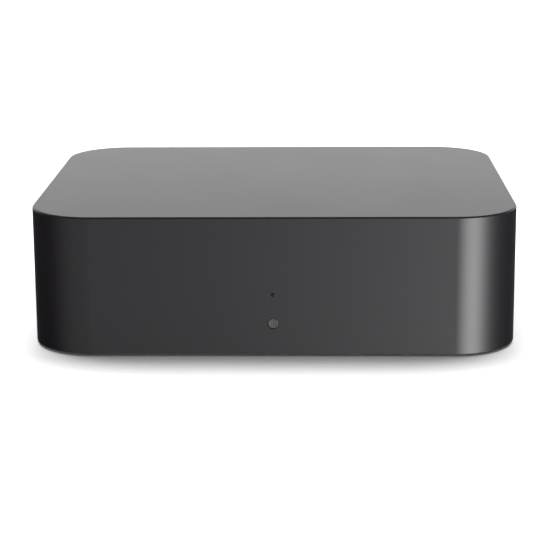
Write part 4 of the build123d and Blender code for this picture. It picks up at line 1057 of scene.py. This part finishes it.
@dataclass
class RearPanel:
    """The flanged steel panel with every socket's cut-out, its vents and its tabs."""

    corner: float = 3.0 * MM
    corner_segments: int = 8
    flange: float = 3.0 * MM
    flange_thickness: float = 1.6 * MM
    tab_width: float = 12.0 * MM
    tab_inset: float = 26.0 * MM
    cut_gap: float = 0.3 * MM
    screw_radius: float = 1.75 * MM
    head_room: float = 3.2 * MM
    vent_drop: float = 7.0 * MM
    vent_width: float = 4.0 * MM
    vent_height: float = 9.0 * MM
    vent_pitch: float = 9.5 * MM
    vent_corner: float = 0.8 * MM
    vent_segments: int = 4

    def __post_init__(self) -> None:
        """Reads the panel's place from the frame."""
        self.low, self.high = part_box("rear_panel")
        self.half = self.high.x - self.flange
        self.top = self.high.z - self.flange
        self.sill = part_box("base_plate")[0].z + TopShell.lip_height

    def plate(self) -> bmesh.types.BMesh:
        """The panel before its cut-outs: the plate, the flange behind it, the lap below and the tabs."""
        joint = self.sill + OVERRUN
        face = bmesh.new()
        middle = self.low.y + self.flange_thickness / 2
        brick(face, (-self.half, middle, self.sill), (self.half, self.high.y, self.top))
        ease(face, upper(face, joint), self.corner, self.corner_segments)
        back = bmesh.new()
        front = self.low.y + self.flange_thickness
        brick(back, (self.low.x, self.low.y, self.sill), (self.high.x, front, self.high.z))
        ease(back, upper(back, joint), self.corner + self.flange, self.corner_segments)
        lap = bmesh.new()
        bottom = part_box("base_plate")[0].z
        brick(lap, (-self.half, self.high.y - TopShell.lip, bottom), (self.half, self.high.y, joint))
        mesh = joined(joined(face, back, "UNION"), lap, "UNION")
        for side in (-1, 1):
            tab = bmesh.new()
            x = side * (self.half - self.tab_inset)
            brick(
                tab,
                (x - self.tab_width / 2, self.low.y, self.low.z + self.cut_gap),
                (x + self.tab_width / 2, front, joint),
            )
            mesh = joined(mesh, tab, "UNION")
        return mesh

    def window(self, mesh: bmesh.types.BMesh, node: str, low_z: float | None = None) -> None:
        """Adds the cutter of a square socket, a gap wider than the socket all round."""
        low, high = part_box(node)
        bottom = (low.z if low_z is None else low_z) - self.cut_gap
        brick(
            mesh,
            (low.x - self.cut_gap, self.low.y - OVERRUN, bottom),
            (high.x + self.cut_gap, self.high.y + OVERRUN, high.z + self.cut_gap),
        )

    def cutters(self) -> bmesh.types.BMesh:
        """Every cut-out's shape."""
        mesh = bmesh.new()
        self.window(mesh, "ethernet_socket")
        self.window(mesh, "usb_socket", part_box("usb_socket")[0].z + UsbShell.lift)
        self.window(mesh, "optical_output")
        middle = centre("mains_inlet")
        half = Vector((MainsInlet.width / 2 + self.cut_gap, 0, MainsInlet.height / 2 + self.cut_gap))
        brick(
            mesh,
            (middle.x - half.x, self.low.y - OVERRUN, middle.z - half.z),
            (middle.x + half.x, self.high.y + OVERRUN, middle.z + half.z),
        )
        depth = self.high.y - self.low.y + 2 * OVERRUN
        round_holes = [(centre(core), PhonoRow.collar_radius + self.cut_gap) for core in PhonoRow.CORES]
        for jack in JackPair.JACKS:
            place = centre(jack)
            place.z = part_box(jack)[0].z + JackPair.nose_height
            round_holes.append((place, JackPair.nose_radius + self.cut_gap))
        for place, radius in round_holes:
            turn(mesh, rod(radius, 0.0, depth), (place.x, self.low.y - OVERRUN, place.z), Facing.BACK)
        screw_low, screw_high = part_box("rear_panel_screws")
        screw_z = (screw_low.z + screw_high.z) / 2
        seat = self.flange_thickness + OVERRUN
        for x in (screw_low.x + FeetAndScrews.head_radius, screw_high.x - FeetAndScrews.head_radius):
            profile = (
                (0.0, 0.0),
                (self.screw_radius, 0.0),
                (self.screw_radius, seat),
                (self.head_room, seat),
                (self.head_room, depth),
                (0.0, depth),
            )
            turn(mesh, profile, (x, self.low.y - OVERRUN, screw_z), Facing.BACK)
        self.vents(mesh)
        return mesh

    def vents(self, mesh: bmesh.types.BMesh) -> None:
        """Adds the vents' cutters, a row of upright slots with eased corners."""
        count = int(2 * (self.half - 2 * self.vent_drop) / self.vent_pitch)
        slots = bmesh.new()
        middle = self.top - self.vent_drop
        for index in range(count):
            x = (index - (count - 1) / 2) * self.vent_pitch
            brick(
                slots,
                (x - self.vent_width / 2, self.low.y - OVERRUN, middle - self.vent_height / 2),
                (x + self.vent_width / 2, self.high.y + OVERRUN, middle + self.vent_height / 2),
            )
        ease(slots, running(slots, DEPTH_AXIS), self.vent_corner, self.vent_segments)
        merge_in(mesh, slots)

    def build(self) -> None:
        """Makes the panel."""
        mesh = joined(self.plate(), self.cutters(), "DIFFERENCE")
        publish("connection_panel", mesh, PANEL_COAT, Body.CASE, ("rear_panel",), flat_sided=True)


@dataclass
class PhonoRow:
    """The four phono sockets: their blocks and collars, plated barrels and coloured cores."""

    CORES: ClassVar[tuple[str, ...]] = (
        "coaxial_output_core",
        "subwoofer_output_core",
        "right_output_core",
        "left_output_core",
    )
    block_edge: float = 0.3 * MM
    collar_radius: float = 5.0 * MM
    collar_edge: float = 0.2 * MM
    barrel_radius: float = 4.15 * MM
    barrel_wall: float = 0.5 * MM
    rolled_edge: float = 0.18 * MM
    core_edge: float = 0.15 * MM
    bore_radius: float = 1.65 * MM
    bore_depth: float = 6.5 * MM

    def build_blocks(self) -> None:
        """Makes the two insulating blocks with their collars."""
        low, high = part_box("phono_blocks")
        panel_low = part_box("rear_panel")[0].y
        mesh = bmesh.new()
        columns = sorted({round(centre(core).x, MICRON_DIGITS) for core in self.CORES})
        half = (high.x - low.x - (columns[1] - columns[0])) / 2
        for x in columns:
            block = bmesh.new()
            brick(block, (x - half, low.y, low.z), (x + half, panel_low, high.z))
            ease(block, block.edges[:], self.block_edge, segments=2)
            merge_in(mesh, block)
        for core in self.CORES:
            place = centre(core)
            collar = rod(self.collar_radius, -BURIED, high.y - panel_low)
            turn(mesh, collar, (place.x, panel_low, place.z), Facing.BACK, edge=self.collar_edge)
        publish("phono_block_pair", mesh, SOCKET_PLASTIC, Body.CASE, ("phono_blocks",))

    def build_barrels(self) -> None:
        """Turns the four barrels, with rolled edges."""
        low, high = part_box("phono_barrels")
        reach = high.y - low.y
        inner = self.barrel_radius - self.barrel_wall
        profile = (
            (inner, 0.0),
            (self.barrel_radius, 0.0),
            (self.barrel_radius, reach),
            (inner, reach),
        )
        mesh = bmesh.new()
        for core in self.CORES:
            place = centre(core)
            turn(
                mesh,
                profile,
                (place.x, low.y, place.z),
                Facing.BACK,
                edge=self.rolled_edge,
                closed=True,
                steps=BROAD_SPIN_STEPS,
            )
        publish("phono_barrel_set", mesh, BARREL_NICKEL, Body.CASE, ("phono_barrels",))

    def build_cores(self) -> None:
        """Turns the four coloured cores, each bored for a plug's pin."""
        finishes = (CORE_ORANGE, CORE_VIOLET, CORE_RED, CORE_WHITE)
        radius = self.barrel_radius - self.barrel_wall
        for core, finish in zip(self.CORES, finishes):
            low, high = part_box(core)
            place = centre(core)
            length = high.y - low.y
            floor = length - self.bore_depth
            profile = (
                (0.0, 0.0),
                (radius, 0.0),
                (radius, length),
                (self.bore_radius, length),
                (self.bore_radius, floor),
                (0.0, floor),
            )
            mesh = bmesh.new()
            turn(mesh, profile, (place.x, low.y, place.z), Facing.BACK, edge=self.core_edge)
            publish(core.replace("_core", "_insulator"), mesh, finish, Body.CASE, (core,))

    def build(self) -> None:
        """Makes all three kinds of piece."""
        self.build_blocks()
        self.build_barrels()
        self.build_cores()


@dataclass
class JackPair:
    """The trigger and infrared sockets, for slim round plugs."""

    JACKS: ClassVar[tuple[str, ...]] = ("trigger_jack", "infrared_jack")
    nose_height: float = 4.4 * MM
    nose_radius: float = 3.2 * MM
    bore_radius: float = 1.8 * MM
    bore_depth: float = 14.0 * MM
    bore_flare: float = 0.3 * MM

    def build(self) -> None:
        """Makes each socket's block and its bored nose as one piece."""
        panel_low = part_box("rear_panel")[0].y
        for jack in self.JACKS:
            low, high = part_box(jack)
            x = centre(jack).x
            z = low.z + self.nose_height
            block = bmesh.new()
            brick(block, low, (high.x, panel_low, high.z))
            nose = bmesh.new()
            turn(nose, rod(self.nose_radius, -OVERRUN, high.y - panel_low), (x, panel_low, z), Facing.BACK)
            bore = bmesh.new()
            flare = (
                (0.0, high.y - self.bore_depth),
                (self.bore_radius, high.y - self.bore_depth),
                (self.bore_radius, high.y - self.bore_flare),
                (self.bore_radius + self.bore_flare + OVERRUN, high.y + OVERRUN),
                (0.0, high.y + OVERRUN),
            )
            turn(bore, flare, (x, 0.0, z), Facing.BACK)
            mesh = joined(joined(block, nose, "UNION"), bore, "DIFFERENCE")
            publish(jack + "_socket", mesh, SOCKET_PLASTIC, Body.CASE, (jack,))


@dataclass
class MainsInlet:
    """The flanged two-pole mains inlet and its two pins."""

    width: float = 19.6 * MM
    height: float = 12.0 * MM
    flange_thickness: float = 1.6 * MM
    corner: float = 1.5 * MM
    rim: float = 0.5 * MM
    mouth_width: float = 15.6 * MM
    mouth_height: float = 8.4 * MM
    mouth_depth: float = 14.0 * MM
    mouth_round_share: float = 0.998
    pin_radius: float = 1.2 * MM
    tip_shares: Profile = ((1.0, 0.9), (0.8, 0.35), (0.45, 0.05), (0.0, 0.0))

    def build_body(self) -> None:
        """Makes the flanged body with its round-ended mouth."""
        low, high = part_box("mains_inlet")
        middle = centre("mains_inlet")
        seat = high.y - self.flange_thickness
        half_width, half_height = self.width / 2, self.height / 2
        flange = bmesh.new()
        brick(flange, (low.x, seat, low.z), high)
        ease(flange, running(flange, DEPTH_AXIS), self.corner, segments=5)
        ease(flange, lying(flange, DEPTH_AXIS, high.y), self.rim)
        body = bmesh.new()
        brick(
            body,
            (middle.x - half_width, low.y, middle.z - half_height),
            (middle.x + half_width, seat + OVERRUN, middle.z + half_height),
        )
        mouth = bmesh.new()
        brick(
            mouth,
            (middle.x - self.mouth_width / 2, high.y - self.mouth_depth, middle.z - self.mouth_height / 2),
            (middle.x + self.mouth_width / 2, high.y + OVERRUN, middle.z + self.mouth_height / 2),
        )
        round_end = self.mouth_round_share * self.mouth_height / 2
        ease(mouth, running(mouth, DEPTH_AXIS), round_end, segments=12)
        mesh = joined(joined(flange, body, "UNION"), mouth, "DIFFERENCE")
        publish("mains_inlet_body", mesh, SOCKET_PLASTIC, Body.CASE, ("mains_inlet",))

    def build_pins(self) -> None:
        """Turns the two pins with rounded tips."""
        low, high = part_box("mains_pins")
        length = high.y - low.y
        profile = (
            (0.0, 0.0),
            (self.pin_radius, 0.0),
            *[(out * self.pin_radius, length - down * self.pin_radius) for out, down in self.tip_shares],
        )
        mesh = bmesh.new()
        z = (low.z + high.z) / 2
        for x in (low.x + self.pin_radius, high.x - self.pin_radius):
            turn(mesh, profile, (x, low.y, z), Facing.BACK, steps=SMALL_SPIN_STEPS)
        publish("mains_pin_pair", mesh, BARREL_NICKEL, Body.CASE, ("mains_pins",))

    def build(self) -> None:
        """Makes the body and the pins."""
        self.build_body()
        self.build_pins()


@dataclass
class UsbShell:
    """The steel shell of the USB socket and its foot."""

    thickness: float = 0.9 * MM
    corner: float = 0.7 * MM
    inner_corner: float = 0.3 * MM
    lift: float = 1.0 * MM

    def build(self) -> None:
        """Makes the shell with rounded folds, on its foot."""
        low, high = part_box("usb_socket")
        outside = bmesh.new()
        brick(outside, (low.x, low.y, low.z + self.lift), high)
        ease(outside, running(outside, DEPTH_AXIS), self.corner, segments=4)
        inside = bmesh.new()
        brick(
            inside,
            (low.x + self.thickness, low.y + self.thickness, low.z + self.lift + self.thickness),
            (high.x - self.thickness, high.y + OVERRUN, high.z - self.thickness),
        )
        ease(inside, running(inside, DEPTH_AXIS), self.inner_corner)
        mesh = joined(outside, inside, "DIFFERENCE")
        brick(
            mesh,
            (low.x + self.thickness, low.y, low.z),
            (high.x - self.thickness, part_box("rear_panel")[0].y, low.z + self.lift + BURIED),
        )
        publish("usb_shell", mesh, SOCKET_STEEL, Body.CASE, ("usb_socket",))


@dataclass
class KeptNodes:
    """The CAD nodes whose shapes stay, each with its own finish."""

    def build(self) -> None:
        """Gives every kept node its finish."""
        nodes = {piece["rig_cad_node"]: piece for piece in bpy.data.objects if "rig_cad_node" in piece}
        for finish, names in KEPT_FINISHES.items():
            for name in names:
                piece = nodes[name]
                if not piece.material_slots:
                    piece.data.materials.append(finish.material())
                for slot in piece.material_slots:
                    slot.material = finish.material()
                LOG.info("dressed %s in %s", name, finish.name)


# Studio


@dataclass
class Studio:
    """A pale floor, soft light and the camera at the photograph's viewing angle."""

    camera_place: tuple[float, float, float] = (20.39 * MM, -909.7 * MM, 252.3 * MM)
    pitch: float = 12.67
    yaw: float = 1.355
    roll: float = -0.368
    lens: float = 108.53
    sensor: float = 36.0
    shift: float = -0.1
    clip: Pair = (0.02, 50.0)
    floor_size: float = 14.0
    floor_blotch: float = 0.4
    floor_shades: tuple[Shade, Shade] = ((0.985, 0.985, 0.985), (1.0, 1.0, 1.0))
    floor_roughness: float = 0.9
    key_strength: float = 2.2
    key_back: float = 21.0
    key_aside: float = 16.0
    key_spread: float = 40.0
    fill_level: float = 0.41
    room_levels: Profile = (
        (-180.0, 0.5),
        (-158.0, 0.12),
        (-140.0, 0.03),
        (-108.0, 0.03),
        (-92.0, 0.04),
        (-76.0, 0.12),
        (-58.0, 0.42),
        (-36.0, 0.72),
        (-4.0, 0.62),
        (3.0, 0.95),
        (8.0, 1.75),
        (13.0, 3.5),
        (20.0, 6.5),
        (28.0, 9.0),
        (38.0, 9.6),
        (46.0, 7.6),
        (53.0, 5.0),
        (62.0, 2.3),
        (74.0, 0.9),
        (92.0, 0.3),
        (125.0, 0.08),
        (158.0, 0.12),
        (180.0, 0.5),
    )
    overhead: float = 0.2
    sky_low: float = 1.85
    sky_heights: Pair = (0.1, 0.36)
    sky_depths: Pair = (0.1, 0.6)
    horizon: Pair = (-0.05, 0.12)

    @property
    def room_peak(self) -> float:
        """The brightest of the levels around the room."""
        return max(level for _, level in self.room_levels)

    def build_floor(self) -> None:
        """Lays the floor, which reflections pass through to the room below."""
        mesh = bmesh.new()
        bmesh.ops.create_grid(mesh, x_segments=1, y_segments=1, size=self.floor_size / 2)
        data = bpy.data.meshes.new("studio_floor")
        mesh.to_mesh(data)
        mesh.free()
        graph = Graph("studio_floor")
        graph.set("Base Color", graph.blend(graph.noise(self.floor_blotch), *self.floor_shades))
        graph.set("Roughness", self.floor_roughness)
        graph.set("Specular IOR Level", 0.0)
        data.materials.append(graph.material)
        floor = bpy.data.objects.new("studio_floor", data)
        floor.visible_glossy = False
        bpy.context.scene.collection.objects.link(floor)

    def build_world(self) -> None:
        """Fills the room: white to the camera, even for diffuse light, soft boxes in reflections."""
        world = bpy.data.worlds.new("studio_room")
        bpy.context.scene.world = world
        world.use_nodes = True
        sheet = Sheet(world.node_tree)
        rays = sheet.add("ShaderNodeLightPath", {}, {})
        toward = sheet.add("ShaderNodeTexCoord", {}, {}).outputs["Generated"]
        parts = sheet.add("ShaderNodeSeparateXYZ", {}, {"Vector": toward})
        forward = sheet.maths("MULTIPLY", parts.outputs["Y"], -1.0)
        around = sheet.maths("ARCTAN2", parts.outputs["X"], forward)
        share = sheet.ranged(around, (-math.pi, math.pi), (0.0, 1.0))
        ring = sheet.maths("MULTIPLY", self.build_ring(sheet, share), self.room_peak)
        behind = sheet.ranged(parts.outputs["Y"], self.sky_depths, (0.0, 1.0))
        sky = sheet.ranged(parts.outputs["Z"], self.sky_heights, (self.sky_low, 0.0))
        above = sheet.maths("ADD", sheet.maths("MULTIPLY", behind, sky), self.overhead)
        upward = sheet.ranged(parts.outputs["Z"], self.horizon, (0.0, 1.0))
        glossy = sheet.mixed(upward, ring, above)
        reflected = sheet.mixed(rays.outputs["Is Glossy Ray"], self.fill_level, glossy)
        clear = sheet.mixed(rays.outputs["Is Transmission Ray"], reflected, 1.0)
        seen = sheet.mixed(rays.outputs["Is Camera Ray"], clear, 1.0)
        values = {"Color": (1.0, 1.0, 1.0, 1.0), "Strength": seen}
        background = sheet.add("ShaderNodeBackground", {}, values)
        sheet.add("ShaderNodeOutputWorld", {}, {"Surface": background.outputs[0]})

    def build_ring(self, sheet: Sheet, share: bpy.types.NodeSocket) -> bpy.types.NodeSocket:
        """Sets the soft boxes around the room, as shares of the brightest.

        Args:
            sheet: The world's nodes.
            share: How far round a direction lies, from 0 to 1.

        Returns:
            The share of the brightest level in that direction.
        """
        ramp = sheet.add("ShaderNodeValToRGB", {}, {"Fac": share})
        stops = ramp.color_ramp.elements
        stops.remove(stops[-1])
        for index, (angle, level) in enumerate(self.room_levels):
            stop = stops.new((angle + HALF_TURN) / (2 * HALF_TURN)) if index else stops[0]
            stop.color = (level / self.room_peak,) * 3 + (1.0,)
        return ramp.outputs["Color"]

    def build_lights(self) -> None:
        """Hangs two soft key lights above and behind, one to each side, unseen in reflections."""
        for side, name in ((-1.0, "left_key"), (1.0, "right_key")):
            key = bpy.data.lights.new(name, "SUN")
            key.energy = self.key_strength
            key.angle = math.radians(self.key_spread)
            holder = bpy.data.objects.new(name, key)
            holder.rotation_euler = (math.radians(-self.key_back), math.radians(side * self.key_aside), 0.0)
            holder.visible_glossy = False
            bpy.context.scene.collection.objects.link(holder)

    def build_camera(self) -> None:
        """Sets the camera that the photograph's outline was fitted with."""
        camera = bpy.data.cameras.new("camera")
        camera.lens = self.lens
        camera.sensor_width = self.sensor
        camera.shift_y = self.shift
        camera.clip_start, camera.clip_end = self.clip
        holder = bpy.data.objects.new("camera", camera)
        turned = Euler((math.radians(HALF_TURN / 2 - self.pitch), 0.0, math.radians(self.yaw))).to_matrix()
        tilted = turned @ Matrix.Rotation(math.radians(self.roll), 3, "Z")
        holder.matrix_world = Matrix.Translation(Vector(self.camera_place)) @ tilted.to_4x4()
        bpy.context.scene.collection.objects.link(holder)
        bpy.context.scene.camera = holder

    def build(self) -> None:
        """Sets up the whole studio."""
        self.build_floor()
        self.build_world()
        self.build_lights()
        self.build_camera()
        bpy.context.scene.view_settings.view_transform = "Standard"


def main() -> None:
    """Loads the frame, sets up the studio and builds every sub-assembly in order."""
    logging.basicConfig(level=logging.INFO, format="%(name)s: %(message)s")
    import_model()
    Studio().build()
    KeptNodes().build()
    assemblies = (
        TopShell,
        FrontControls,
        FeetAndScrews,
        RearPanel,
        PhonoRow,
        JackPair,
        MainsInlet,
        UsbShell,
    )
    for assembly in assemblies:
        LOG.info("building %s", assembly.__name__)
        assembly().build()


if __name__ == "__main__":
    main()
